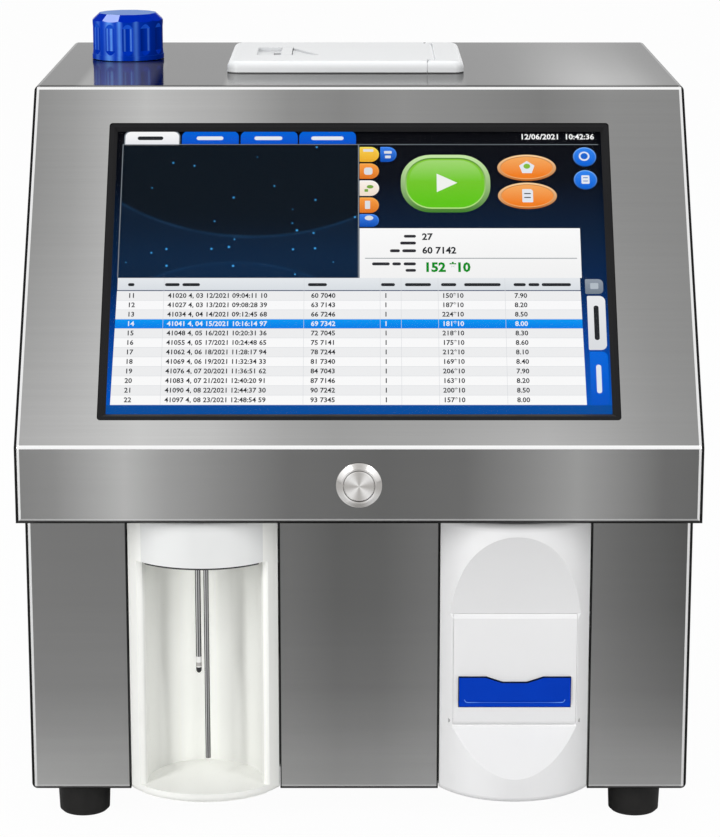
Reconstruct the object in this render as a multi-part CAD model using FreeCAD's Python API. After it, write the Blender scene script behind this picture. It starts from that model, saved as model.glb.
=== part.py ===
import FreeCAD
import Part
import math
import os

# Bench milk analyzer. Millimetres, X to the right seen from the front, Y to the back, Z up.
# The origin lies under the middle of the object, at the height of the bench.

# Cabinet
cabinet_width = 294.0
cabinet_depth = 302.0
foot_height = 15.0
base_height = 128.0
band_height = 34.0
slope_run = 115.0
slope_rise = 140.0
overhang = 21.0
sheet = 1.2
fold_radius = 2.5
shell_gap = 0.3
return_width = 12.0
base_lap = 20.0
rear_flange = 10.0
rear_sheet = 1.5
panel_gap = 0.5
seat_gap = 0.3
run_gap = 0.06
fit_gap = 0.03

# Feet
foot_top_radius = 11.8
foot_low_radius = 11.2
foot_side_inset = 21.8
foot_front_inset = 17.5
foot_rear_inset = 30.0
foot_screw_radius = 2.0
foot_head_radius = 3.6
foot_head_height = 2.4
foot_recess_radius = 5.0
foot_recess_depth = 7.0
foot_nut_radius = 4.5
foot_nut_height = 3.0

# Display, measured along the slope from the crease
view_width = 216.8
view_low = 16.4
view_top = 23.38
frame_edge = 3.6
frame_bevel = 1.6
frame_recess = 0.3
frame_lip = 1.4
frame_corner = 1.5
bezel_flange = 4.0
bezel_depth = 3.4
glass_lap = 1.6
glass_thick = 1.8
panel_lap = 5.0
panel_thick = 5.0
panel_air = 0.6
tray_sheet = 1.0
board_thick = 1.6
board_gap = 4.0
display_board_width = 90.0
display_board_height = 70.0

# Push-button in the band
button_drop = 16.5
button_flange_radius = 9.8
button_rim_radius = 7.7
button_rim_proud = 2.4
button_flange_edge = 0.8
button_cap_radius = 6.6
button_cap_gap = 0.3
button_cap_proud = 2.9
button_cap_thick = 3.0
button_travel = 1.2
button_stem_radius = 2.5
button_barrel_radius = 8.0
button_barrel_length = 22.0
button_nut_flats = 21.0
button_nut_thick = 3.0

# White columns in the front
column_x = 68.2
column_half = 32.7
column_bulge = 18.0
column_gap = 0.5
column_lift = 0.5
column_skirt = 8.0
column_wall = 2.2
column_edge = 0.9
column_foot_edge = 2.4

# Sample bay
bay_half = 25.2
bay_back = 27.2
bay_floor = 4.0
bay_height = 103.0
rim_half = 28.6
hood_half = 26.5
hood_wall = 2.0
tube_radius = 1.15
tube_bore = 0.7
tube_side = 1.2
tube_low = 10.0
probe_radius = 1.25
probe_side = -2.4
probe_low = 49.5
probe_tip_length = 5.0
probe_collar_length = 2.7
manifold_half = 12.0
manifold_front = 6.0
manifold_back = 14.0
manifold_height = 13.5
barb_radius = 2.6
barb_length = 9.0
hose_radius = 3.0
hose_bend = 12.0

# Printer
facet_top = 136.5
facet_bottom = 26.4
scoop_sag = 1.9
door_face = 6.7
recess_face = 5.4
door_low = 47.3
door_ledge = 96.5
door_high = 98.6
door_half = 26.9
door_gap = 0.3
door_seam = 0.15
door_wall = 3.0
door_block = 6.5
door_cheek = 2.0
hinge_knuckle = 1.8
hinge_pin_radius = 0.9
lever_half = 24.4
lever_low = 56.2
lever_high = 69.8
lever_dip = 2.4
lever_dip_top = 12.8
lever_dip_low = 5.6
lever_proud = 1.2
lever_plate = 2.7
lever_root = 5.9
lever_gap = 0.35
lever_axis_lift = 2.0
lever_axis_depth = 1.1
lever_pin_radius = 0.9
lever_pin_length = 1.6
roller_radius = 4.2
roller_half = 21.8
roller_pin_radius = 1.5
roller_depth = 1.0
roller_height = 92.0
gear_teeth = 16
gear_root_radius = 3.7
gear_tip_radius = 4.3
gear_width = 1.8
bucket_half = 25.0
bucket_low = 51.0
bucket_high = 95.0
bucket_depth = 48.0
bucket_wall = 2.0
head_bar_half = 23.0
head_bar_depth = 8.2
head_bar_low = 86.0
head_bar_high = 99.0
printer_motor_radius = 10.0
printer_motor_length = 14.0

# Filler cap and tank
cap_x = -113.2
cap_depth = 229.5
cap_radius = 17.5
cap_height = 21.9
cap_ring = 2.2
cap_step = 0.3
cap_chamfer = 3.4
cap_top_radius = 13.6
cap_flutes = 12
cap_flute_depth = 0.8
cap_flute_width = 6.2
cap_rim = 1.0
cap_turned = 19.0
neck_radius = 13.0
neck_wall = 2.4
neck_rise = 12.5
neck_gap = 0.4
liner_thick = 1.6
gasket_thick = 2.0
collar_radius = 18.0
collar_thick = 2.0
tank_half_x = 26.5
tank_half_y = 30.0
tank_wall = 2.0
tank_drop = 13.0
tank_corner = 6.0

# Lid on the top and the chip bay under it
lid_left = -62.0
lid_right = 49.2
lid_front = 163.2
lid_back = 251.0
lid_thick = 5.4
lid_corner = 6.0
lid_round = 3.4
lid_wall = 1.8
lid_hinge_x = 34.0
lid_knuckle = 1.9
lid_pin_radius = 0.8
lid_ear = 7.6
latch_left = -49.0
latch_slot = 17.0
latch_key = 5.0
latch_half = 16.0
latch_travel = 4.0
latch_gap = 0.35
tongue_thick = 1.6
scoop_length = 13.0
opening_left = -56.2
opening_right = 29.0
opening_front = 169.0
opening_back = 245.0
basin_lap = 4.5
basin_wall = 2.0
basin_depth = 23.0
rail_radius = 2.0
rail_side = 28.0
stage_level = 14.8
carriage_half_y = 33.0
carriage_length = 40.0
carriage_thick = 7.0
carriage_x = -41.0
chip_width = 26.0
chip_length = 56.0
chip_recess = 1.2
screw_radius = 1.5
screw_side = 17.0
stage_motor_size = 28.0
stage_motor_length = 20.0
stage_motor_plate = 2.5
rotor_wall = 3.4
rotor_gap = 0.4
lens_x = -13.0
lens_radius = 8.0
lens_length = 22.0
optic_half = 15.0
optic_height = 30.0
optic_back = 29.0
lamp_radius = 8.0
lamp_length = 22.0

# Deck and what stands on it and on the floor
deck_z = 150.0
deck_front = 40.0
deck_rear_gap = 3.5
deck_flange = 12.0
main_board_x = 20.0
main_board_width = 108.0
main_board_depth = 110.0
main_board_front = 150.0
shield_side = 28.0
shield_height = 6.0
plug_length = 18.0
plug_width = 8.0
plug_height = 9.0
memory_width = 20.0
memory_length = 30.0
memory_height = 3.0
terminal_width = 12.0
terminal_length = 36.0
terminal_height = 4.0
capacitor_radius = 5.0
capacitor_height = 14.0
capacitor_pitch = 16.0
standoff_radius = 3.0
standoff_height = 5.0
supply_x = 28.0
supply_width = 84.0
supply_depth = 96.0
supply_height = 38.0
supply_rear = 34.0
pump_depth = 95.0
pump_radius = 30.0
pump_thick = 22.0
pump_axis_z = 62.0
pump_wall = 4.0
pump_shaft_radius = 3.0
roller_count = 3
pump_roller_radius = 5.5
pump_motor_radius = 17.0
pump_motor_length = 50.0
cell_x = -14.0
cell_width = 34.0
cell_depth = 30.0
cell_height = 40.0
cell_port_height = 8.0

# Rear
port_proud = 6.0
fan_x = 70.0
fan_z = 110.0
fan_size = 60.0
fan_thick = 15.0
fan_bore_radius = 28.0
fan_blade_radius = 26.5
fan_hub_radius = 12.0
fan_blades = 7
fan_hub_gap = 0.5
grille_radius = 26.0
grille_slots = 7
grille_slot = 3.4
grille_pitch = 7.2
inlet_x = -105.0
inlet_z = 50.0
inlet_width = 27.0
inlet_height = 20.0
inlet_flange = 2.0
inlet_flange_thick = 2.0
inlet_depth = 22.0
inlet_socket_width = 24.0
inlet_socket_height = 16.5
inlet_socket_depth = 15.0
usb_x = -55.0
usb_z = 50.0
usb_width = 14.5
usb_height = 7.0
usb_pitch = 20.0
usb_depth = 16.0
usb_shell = 0.5
usb_proud = 1.0
serial_x = -10.0
serial_z = 50.0
serial_width = 17.0
serial_height = 9.0
serial_plate_width = 31.0
serial_plate_height = 12.5
serial_depth = 12.0
rear_screw_radius = 1.5
rear_head_radius = 3.0
rear_head_height = 1.8

# Heights and places that follow from the sizes
V = FreeCAD.Vector
half = cabinet_width / 2
inner_half = half - sheet
base_half = inner_half - shell_gap
floor_half = base_half - sheet
base_z = foot_height
floor_z = base_z + sheet
head_z = base_z + base_height
crease_z = head_z + band_height
top_z = crease_z + slope_rise
roof_z = top_z - sheet
front_y = (button_cap_proud - cabinet_depth - port_proud) / 2
base_y = front_y + overhang
rear_y = front_y + cabinet_depth
panel_y = rear_y - rear_sheet
slope_angle = math.degrees(math.atan2(slope_rise, slope_run))
view_height = math.hypot(slope_rise, slope_run) - view_low - view_top
button_z = crease_z - button_drop
column_radius = (column_half ** 2 + column_bulge ** 2) / (2 * column_bulge)
column_axis_y = base_y - column_bulge + column_radius
column_low = base_z + column_lift
column_high = head_z - seat_gap
bay_top = column_low + bay_floor + bay_height
bay_axis_y = base_y + bay_back - bay_half
lid_low = top_z + seat_gap
lid_high = lid_low + lid_thick
lid_axis_z = lid_high - lid_knuckle
deck_top = deck_z + sheet
stage_z = roof_z - stage_level


def block(x0, x1, y0, y1, z0, z1):
    return Part.makeBox(x1 - x0, y1 - y0, z1 - z0, V(x0, y0, z0))


def rod(radius, start, end):
    run = V(*end) - V(*start)
    return Part.makeCylinder(radius, run.Length, V(*start), run)


def prism(points, run):
    corners = [V(*point) for point in points]
    wire = Part.makePolygon(corners + [corners[0]])
    return Part.Face(wire).extrude(V(*run))


def side_prism(points, x0, x1):
    return prism([(x0, y, z) for y, z in points], (x1 - x0, 0, 0))


def plan_prism(points, z0, z1):
    return prism([(x, y, z0) for x, y in points], (0, 0, z1 - z0))


def turned(points, start, axis):
    """Revolve a half outline of (radius, distance along the axis) pairs."""
    corners = [V(radius, 0, along) for radius, along in points]
    wire = Part.makePolygon(corners + [corners[0]])
    solid = Part.Face(wire).revolve(V(0, 0, 0), V(0, 0, 1), 360)
    turn = FreeCAD.Rotation(V(0, 0, 1), V(*axis))
    solid.Placement = FreeCAD.Placement(V(*start), turn)
    return solid


def join(shapes):
    whole = shapes[0]
    if len(shapes) > 1:
        whole = whole.multiFuse(shapes[1:])
    return whole.removeSplitter()


def rounded(shape, radius, chosen):
    edges = [edge for edge in shape.Edges if chosen(edge)]
    return shape.makeFillet(radius, edges)


def along(edge, direction):
    if edge.Curve.TypeId != "Part::GeomLine":
        return False
    return abs(abs(edge.Curve.Direction.dot(V(*direction))) - 1) < 1e-6


def middle(edge):
    return edge.CenterOfMass


def rounded_block(x0, x1, y0, y1, z0, z1, radius):
    """A block with its four upright edges rounded."""
    return rounded(block(x0, x1, y0, y1, z0, z1), radius, lambda edge: along(edge, (0, 0, 1)))


def inset(points, distance):
    """Move each side of a convex outline, listed clockwise, inwards by a distance."""
    moved = []
    count = len(points)
    for index in range(count):
        before, here, after = points[index - 1], points[index], points[(index + 1) % count]
        first = V(here[0] - before[0], here[1] - before[1], 0).normalize()
        second = V(after[0] - here[0], after[1] - here[1], 0).normalize()
        bisector = V(first.y + second.y, -first.x - second.x, 0).normalize()
        reach = distance / bisector.dot(V(first.y, -first.x, 0))
        moved.append((here[0] + bisector.x * reach, here[1] + bisector.y * reach))
    return moved


def on_slope(shape):
    """Carry a shape drawn flat, with Y up the slope and Z out of it, to the sloping face."""
    place = FreeCAD.Placement(V(0, front_y, crease_z), FreeCAD.Rotation(V(1, 0, 0), slope_angle))
    carried = shape.copy()
    carried.Placement = place.multiply(carried.Placement)
    return carried


def bent_tube(points, bend, radius):
    """A round tube along straight runs joined by arcs of one radius."""
    corners = [V(*point) for point in points]
    edges = []
    start = corners[0]
    for index in range(1, len(corners) - 1):
        corner = corners[index]
        before = (corners[index - 1] - corner).normalize()
        after = (corners[index + 1] - corner).normalize()
        opening = before.getAngle(after)
        reach = bend / math.tan(opening / 2)
        first = corner + before * reach
        last = corner + after * reach
        towards = (before + after).normalize()
        centre = corner + towards * (bend / math.sin(opening / 2))
        edges.append(Part.LineSegment(start, first).toShape())
        edges.append(Part.Arc(first, centre - towards * bend, last).toShape())
        start = last
    edges.append(Part.LineSegment(start, corners[-1]).toShape())
    path = Part.Wire(edges)
    section = Part.Wire(Part.makeCircle(radius, corners[0], corners[1] - corners[0]))
    return path.makePipeShell([section], True, False)


# Cabinet

def head_outline():
    return [(front_y, head_z), (front_y, crease_z), (front_y + slope_run, top_z), (rear_y, top_z),
            (rear_y, head_z)]


def head_shell():
    """Folded upper case: band, slope and top, with a return under the overhang."""
    outline = head_outline()
    outer = side_prism(outline, -half, half)
    outer = rounded(outer, fold_radius,
                    lambda edge: middle(edge).y < rear_y - 1 and middle(edge).z > head_z + 1
                    or (middle(edge).y < front_y + 1))
    inner_points = inset(outline, sheet)
    inner_points[3] = (rear_y + 1, inner_points[3][1])
    inner_points[4] = (rear_y + 1, inner_points[4][1])
    inner = side_prism(inner_points, -inner_half, inner_half)
    shell = outer.cut(inner)
    under = block(-inner_half, inner_half, base_y + return_width, rear_y + 1, head_z - 1,
                  head_z + 2 * sheet)
    shell = shell.cut(under)
    frame_y = panel_y - sheet
    frame_low = head_z + base_lap + 2
    rear = block(-inner_half, inner_half, frame_y, panel_y, frame_low, roof_z)
    hollow = block(rear_flange - inner_half, inner_half - rear_flange, frame_y - 1, panel_y + 1,
                   frame_low - 1, roof_z - rear_flange)
    shell = join([shell, rear.cut(hollow)])
    window_half = view_width / 2 + frame_edge
    window = rounded_block(-window_half, window_half, view_low - frame_edge,
                           view_low + view_height + frame_edge,
                           -3 * sheet, sheet, frame_corner)
    button_hole = rod(button_barrel_radius + fit_gap, (0, front_y - 1, button_z),
                      (0, front_y + 3, button_z))
    neck_hole = rod(neck_radius + neck_gap, (cap_x, front_y + cap_depth, roof_z - 1),
                    (cap_x, front_y + cap_depth, top_z + 1))
    chip_hole = block(opening_left, opening_right, front_y + opening_front, front_y + opening_back,
                      roof_z - 1, top_z + 1)
    cuts = [on_slope(window), button_hole, neck_hole, chip_hole]
    cuts += [rear_screw_hole(x, z) for x, z in rear_screw_places() if z > frame_low]
    return shell.cut(cuts)


def base_shell():
    """Folded lower case: floor, sides and a front that two column cut-outs divide in three."""
    wall_top = head_z + base_lap
    outer = block(-base_half, base_half, base_y, rear_y, base_z, wall_top)
    outer = rounded(outer, fold_radius,
                    lambda edge: middle(edge).y < rear_y - 1 and middle(edge).z < wall_top - 1)
    inner = block(-floor_half, floor_half, base_y + sheet, rear_y + 1, floor_z, wall_top + 1)
    inner_fold = fold_radius - sheet
    inner = rounded(inner, inner_fold, lambda edge: middle(edge).y < rear_y and middle(edge).z < wall_top)
    shell = outer.cut(inner)
    clear_y = base_y + return_width + seat_gap
    shell = shell.cut(block(-half, half, base_y - 1, clear_y, head_z, wall_top + 1))
    top_return = block(-floor_half, floor_half, base_y + sheet, base_y + return_width, head_z - sheet,
                       head_z)
    frame_y = panel_y - sheet
    rear = block(-floor_half, floor_half, frame_y, panel_y, floor_z, wall_top)
    hollow = block(rear_flange - floor_half, floor_half - rear_flange, frame_y - 1, panel_y + 1,
                   floor_z + rear_flange, wall_top + 1)
    nuts = [rod(foot_nut_radius, (x, y, floor_z - sheet / 2), (x, y, floor_z + foot_nut_height))
            for x, y in foot_places()]
    shell = join([shell, top_return, rear.cut(hollow)] + nuts)
    cuts = []
    for side, depth in ((-1, bay_back + column_wall + column_gap), (1, column_skirt + column_gap)):
        reach = column_half + column_gap
        x0, x1 = side * column_x - reach, side * column_x + reach
        cuts.append(block(x0, x1, base_y - 1, base_y + return_width + 1, floor_z, head_z + 1))
        cuts.append(block(x0, x1, base_y - 1, base_y + depth, base_z - 1, floor_z + 1))
    for x, y in foot_places():
        cuts.append(rod(foot_screw_radius, (x, y, base_z - 1), (x, y, floor_z + foot_nut_height + 1)))
    cuts += [rear_screw_hole(x, z) for x, z in rear_screw_places() if z < wall_top]
    return shell.cut(cuts)


def foot_places():
    front = base_y + foot_front_inset
    rear = rear_y - foot_rear_inset
    side = base_half - foot_side_inset
    return [(-side, front), (side, front), (-side, rear), (side, rear)]


def foot(x, y):
    """Moulded rubber foot with a recess for its screw."""
    outline = [(0, 0), (foot_low_radius - 1, 0), (foot_low_radius, 1), (foot_top_radius, foot_height),
               (0, foot_height)]
    body = turned(outline, (x, y, 0), (0, 0, 1))
    recess = rod(foot_recess_radius, (x, y, -1), (x, y, foot_recess_depth))
    hole = rod(foot_screw_radius, (x, y, 0), (x, y, foot_height + 1))
    return body.cut([recess, hole])


def foot_screws():
    screws = []
    for x, y in foot_places():
        head_z0 = foot_recess_depth - foot_head_height
        head = rod(foot_head_radius, (x, y, head_z0), (x, y, foot_recess_depth))
        shank = rod(foot_screw_radius, (x, y, foot_recess_depth), (x, y, floor_z + foot_nut_height + 1))
        screws.append(join([head, shank]))
    return Part.makeCompound(screws)


def rear_screw_places():
    inset_x = floor_half - rear_flange / 2
    low = floor_z + rear_flange / 2
    high = roof_z - rear_flange / 2
    centre = head_z - base_lap
    upper = (head_z + base_lap + high) / 2
    places = []
    for x in (-inset_x, inset_x):
        places += [(x, low), (x, centre), (x, upper), (x, high)]
    return places


def rear_screw_hole(x, z):
    return rod(rear_screw_radius + run_gap, (x, panel_y - 3, z), (x, rear_y + 1, z))


def rear_screws():
    screws = []
    for x, z in rear_screw_places():
        head = rod(rear_head_radius, (x, rear_y, z), (x, rear_y + rear_head_height, z))
        shank = rod(rear_screw_radius, (x, panel_y - 2 * sheet, z), (x, rear_y, z))
        screws.append(join([head, shank]))
    return Part.makeCompound(screws)


def rear_panel():
    """Flat steel back with the fan grille and the cut-outs for the sockets."""
    reach = floor_half - panel_gap
    plate = block(-reach, reach, panel_y, rear_y, floor_z + panel_gap, roof_z - panel_gap)
    cuts = [rear_screw_hole(x, z) for x, z in rear_screw_places()]
    for index in range(grille_slots):
        height = (index - (grille_slots - 1) / 2) * grille_pitch
        reach = math.sqrt(grille_radius ** 2 - height ** 2)
        z = fan_z + height
        slot = rounded(block(fan_x - reach, fan_x + reach, panel_y - 1, rear_y + 1, z - grille_slot / 2,
                             z + grille_slot / 2), grille_slot / 2 - 0.05,
                             lambda edge: along(edge, (0, 1, 0)))
        cuts.append(slot)
    cuts.append(rear_cut(inlet_x, inlet_z, inlet_width, inlet_height))
    for side in (0, 1):
        cuts.append(rear_cut(usb_x + side * usb_pitch, usb_z, usb_width, usb_height))
    cuts.append(rear_cut(serial_x + usb_pitch, serial_z, serial_width, serial_height))
    return plate.cut(cuts)


def rear_cut(x, z, width, height):
    return block(x - width / 2 - fit_gap, x + width / 2 + fit_gap, panel_y - 1, rear_y + 1,
                 z - height / 2 - fit_gap, z + height / 2 + fit_gap)


# Display

def slope_frame(grow, low, high, corner):
    """A block over the view area, grown on each side, between two heights above the slope."""
    x = view_width / 2 + grow
    return rounded_block(-x, x, view_low - grow, view_low + view_height + grow, low, high, corner)


def display_bezel():
    """Black frame set into the steel from behind, with a bevel down to the glass."""
    face = slope_frame(frame_edge - panel_gap / 2, -bezel_depth, -frame_recess, frame_corner)
    flange = slope_frame(frame_edge + bezel_flange, -bezel_depth, -sheet, frame_corner)
    ring = join([face, flange])
    view = slope_frame(0, -bezel_depth - 1, 0, 0.5)
    rebate = slope_frame(glass_lap + run_gap, -bezel_depth - 1, -frame_recess - frame_lip, 0.5)
    low = -frame_recess - frame_lip + 0.2
    bevel = Part.makeLoft([view_wire(0, low), view_wire(frame_bevel, -frame_recess + 0.001)], True)
    return on_slope(ring.cut([view, rebate, bevel]))


def view_wire(grow, height):
    x = view_width / 2 + grow
    y0, y1 = view_low - grow, view_low + view_height + grow
    corners = [V(-x, y0, height), V(x, y0, height), V(x, y1, height), V(-x, y1, height), V(-x, y0, height)]
    return Part.makePolygon(corners)


def glass_back():
    return -frame_recess - frame_lip - glass_thick


def touch_glass():
    return on_slope(slope_frame(glass_lap, glass_back(), -frame_recess - frame_lip, 0.5))


def panel_front():
    return glass_back() - panel_air


def display_panel():
    """Picture module: a shallow metal box whose picture lies a little behind its rim."""
    module = slope_frame(panel_lap, panel_front() - panel_thick, panel_front(), 1.0)
    picture = slope_frame(0, panel_front() - panel_air / 2, panel_front() + 1, 0.5)
    return on_slope(module.cut(picture))


def display_bracket():
    """Folded tray that holds the picture module against the bezel, with posts for its board."""
    back = panel_front() - panel_thick
    grow = frame_edge + bezel_flange
    tray = slope_frame(grow, back - tray_sheet, -bezel_depth, 1.5)
    inside = slope_frame(grow - tray_sheet, back, 0, 0.5)
    tray = tray.cut(inside)
    centre = view_low + view_height / 2
    windows = []
    for side in (-1, 1):
        x = side * view_width / 3
        windows.append(block(x - 20, x + 20, centre - 40, centre + 40, back - 2 * tray_sheet, back + 1))
    tray = tray.cut(windows)
    posts = []
    for x, y in board_corners(display_board_width, display_board_height, centre):
        posts.append(rod(standoff_radius, (x, y, back - tray_sheet), (x, y, back - tray_sheet - board_gap)))
    return on_slope(join([tray] + posts))


def board_corners(width, height, centre):
    inset_x = width / 2 - 5
    inset_y = height / 2 - 5
    return [(sx * inset_x, centre + sy * inset_y) for sx in (-1, 1) for sy in (-1, 1)]


def display_board():
    back = panel_front() - panel_thick - tray_sheet - board_gap
    centre = view_low + view_height / 2
    x, y = display_board_width / 2, display_board_height / 2
    board = block(-x, x, centre - y, centre + y, back - board_thick, back)
    low = back - board_thick
    chips = [block(-12, 8, centre - 10, centre + 10, low - 1.5, low),
             block(-34, -22, centre - 20, centre + 20, low - 3.5, low),
             block(18, 30, centre + 5, centre + 25, low - 1.2, low),
             block(20, 38, centre - 30, centre - 22, low - 6, low)]
    return on_slope(join([board] + chips))


# Push-button

def button_housing():
    """Turned steel body: conical flange in front, threaded barrel behind, contact blades at its end."""
    bore = button_cap_radius + button_cap_gap
    stop = button_cap_proud - button_cap_thick - button_travel - button_cap_gap
    stem = button_stem_radius + run_gap
    outline = [(button_flange_radius, 0), (button_flange_radius, button_flange_edge),
               (button_rim_radius, button_rim_proud), (bore, button_rim_proud), (bore, stop), (stem, stop),
               (stem, -button_barrel_length + 4), (0, -button_barrel_length + 4),
               (0, -button_barrel_length),
               (button_barrel_radius, -button_barrel_length), (button_barrel_radius, 0)]
    body = turned(outline, (0, front_y, button_z), (0, -1, 0))
    end_y = front_y + button_barrel_length
    blades = [block(x - 1.4, x + 1.4, end_y - 0.5, end_y + 7, button_z - 0.4,
                    button_z + 0.4) for x in (-4.5, 0, 4.5)]
    return join([body] + blades)


def button_cap():
    """Turned cap on a stem that slides in the body."""
    back = button_cap_proud - button_cap_thick
    stem_end = -button_barrel_length + 4 + button_travel + button_cap_gap
    outline = [(0, button_cap_proud), (button_cap_radius - 0.4, button_cap_proud),
               (button_cap_radius, button_cap_proud - 0.4), (button_cap_radius, back),
               (button_stem_radius, back), (button_stem_radius, stem_end), (0, stem_end)]
    return turned(outline, (0, front_y, button_z), (0, -1, 0))


def button_nut():
    reach = button_nut_flats / 2 / math.cos(math.pi / 6)
    y = front_y + sheet
    points = [(reach * math.cos(k * math.pi / 3), y,
               button_z + reach * math.sin(k * math.pi / 3)) for k in range(6)]
    nut = prism(points, (0, button_nut_thick, 0))
    hole = rod(button_barrel_radius + fit_gap, (0, y - 1, button_z),
               (0, y + button_nut_thick + 1, button_z))
    return nut.cut(hole)


# White columns

def column(side, shrink, low, high, skirt):
    """Bulging column, shrunk on its sides and front by a wall where its hollow is cut."""
    x = side * column_x
    reach = column_half - shrink
    radius = column_radius - shrink
    bow = rod(radius, (x, column_axis_y, low), (x, column_axis_y, high))
    body = block(x - reach, x + reach, base_y, base_y + skirt, low, high)
    front = bow.common(block(x - reach, x + reach, base_y - column_bulge - 1, base_y, low, high))
    return join([front, body])


def softened_column(side):
    """Column with its outer front edges rounded, more at the foot than at the head."""
    solid = column(side, 0, column_low, column_high, column_skirt)
    for level, radius in ((column_low, column_foot_edge), (column_high, column_edge)):
        solid = rounded(solid, radius, lambda edge: abs(middle(edge).z - level) < 0.01
                        and middle(edge).y < base_y)
    return solid


def stadium(x, radius, low, high):
    """Upright slot with a round back, open to the front."""
    end = rod(radius, (x, bay_axis_y, low), (x, bay_axis_y, high))
    front = base_y - column_bulge - 1
    return join([end, block(x - radius, x + radius, front, bay_axis_y, low, high)])


def behind_bulge(side, low, high, shrink):
    """Everything behind the bulging face of a column, as a tool for trimming."""
    x = side * column_x
    bow = rod(column_radius - shrink, (x, column_axis_y, low), (x, column_axis_y, high))
    rest = block(x - column_radius + shrink, x + column_radius - shrink, column_axis_y, column_axis_y + 60,
                 low, high)
    return join([bow, rest])


def proud(distance):
    return base_y - distance


def rounded_mouth(x, rim_proud, bevel):
    """What is taken off the two upright edges of the well to round them."""
    low = column_low + bay_floor
    places = [(x - bay_half, rim_proud - bevel), (x + bay_half, rim_proud - bevel),
              (x + rim_half, rim_proud), (x + rim_half, column_bulge + 2), (x - rim_half, column_bulge + 2),
              (x - rim_half, rim_proud)]
    corners = [V(px, proud(out), low) for px, out in places]
    swell = bevel * math.sqrt(0.5)
    right = V(x + rim_half - swell, proud(rim_proud - bevel + swell), low)
    left = V(x - rim_half + swell, proud(rim_proud - bevel + swell), low)
    edges = [Part.makeLine(corners[0], corners[1]), Part.Arc(corners[1], right, corners[2]).toShape(),
             Part.makeLine(corners[2], corners[3]), Part.makeLine(corners[3], corners[4]),
             Part.makeLine(corners[4], corners[5]), Part.Arc(corners[5], left, corners[0]).toShape()]
    return Part.Face(Part.Wire(edges)).extrude(V(0, 0, bay_top - low))


def sample_bay():
    """Moulded white bay: thin column shell with a round-backed well, a floor and a ceiling."""
    x = -column_x
    shell = softened_column(-1)
    hollow = column(-1, column_wall, column_low + column_wall, column_high - column_wall, column_skirt + 1)
    shell = shell.cut(hollow)
    well_wall = stadium(x, bay_half + column_wall, column_low, bay_top + column_wall)
    well_wall = well_wall.common(behind_bulge(-1, column_low, bay_top + column_wall, column_wall / 2))
    body = join([shell, well_wall])
    well = stadium(x, bay_half, column_low + bay_floor, bay_top)
    bevel = rim_half - bay_half
    rim_proud = math.sqrt(column_radius ** 2 - rim_half ** 2) - column_radius + column_bulge
    mouth = rounded_mouth(x, rim_proud, bevel)
    rebate = block(x - hood_half, x + hood_half, base_y - column_bulge - 1, base_y, bay_top,
                   column_high + 1)
    rebate = rebate.cut(behind_bulge(-1, bay_top - 1, column_high + 2, hood_wall + fit_gap))
    cuts = [well, mouth, rebate]
    for place, radius in ((tube_side, tube_radius), (probe_side, probe_radius)):
        cuts.append(rod(radius + seat_gap, (x + place, bay_axis_y, bay_top - 1),
                        (x + place, bay_axis_y, bay_top + column_wall + 1)))
    return body.cut(cuts)


def bay_hood():
    """Curved cover over the head of the bay, flush with the column."""
    x = -column_x
    cover = block(x - hood_half, x + hood_half, base_y - column_bulge - 1, base_y, bay_top, column_high)
    cover = cover.common(behind_bulge(-1, bay_top, column_high, 0))
    return cover.cut(behind_bulge(-1, bay_top - 1, column_high + 1, hood_wall))


def sampling_tube():
    x = -column_x + tube_side
    low = column_low + bay_floor + tube_low
    high = bay_top + column_wall + manifold_height / 2
    outer = rod(tube_radius, (x, bay_axis_y, low), (x, bay_axis_y, high))
    return outer.cut(rod(tube_bore, (x, bay_axis_y, low - 1), (x, bay_axis_y, high + 1)))


def probe_collar_low():
    return column_low + bay_floor + probe_low + probe_tip_length


def temperature_probe():
    x = -column_x + probe_side
    low = probe_collar_low() + probe_collar_length
    return rod(probe_radius, (x, bay_axis_y, low),
               (x, bay_axis_y, bay_top + column_wall + manifold_height / 2))


def probe_collar():
    x = -column_x + probe_side
    low = probe_collar_low()
    return rod(probe_radius + run_gap, (x, bay_axis_y, low), (x, bay_axis_y, low + probe_collar_length))


def probe_tip():
    """Rounded sensor end under the collar."""
    x = -column_x + probe_side
    low = column_low + bay_floor + probe_low
    outline = [(0, 0), (probe_radius * 0.5, 0.2), (probe_radius * 0.87, 0.8),
               (probe_radius, probe_radius * 1.4),
               (probe_radius, probe_tip_length), (0, probe_tip_length)]
    return turned(outline, (x, bay_axis_y, low), (0, 0, 1))


def barb_z():
    return bay_top + column_wall + manifold_height * 0.62


def tube_manifold():
    """Block above the bay that holds both tubes and leads the milk to its hose."""
    x = -column_x
    low = bay_top + column_wall
    body = block(x - manifold_half, x + manifold_half, bay_axis_y - manifold_front,
                 bay_axis_y + manifold_back,
                 low, low + manifold_height)
    barb_y = bay_axis_y + manifold_back
    barb = rod(barb_radius, (x, barb_y - 1, barb_z()), (x, barb_y + barb_length, barb_z()))
    body = join([body, barb])
    cuts = []
    for place, radius in ((tube_side, tube_radius), (probe_side, probe_radius)):
        cuts.append(rod(radius + fit_gap, (x + place, bay_axis_y, low - 1),
                        (x + place, bay_axis_y, low + manifold_height / 2)))
    return body.cut(cuts)


# Printer

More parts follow.
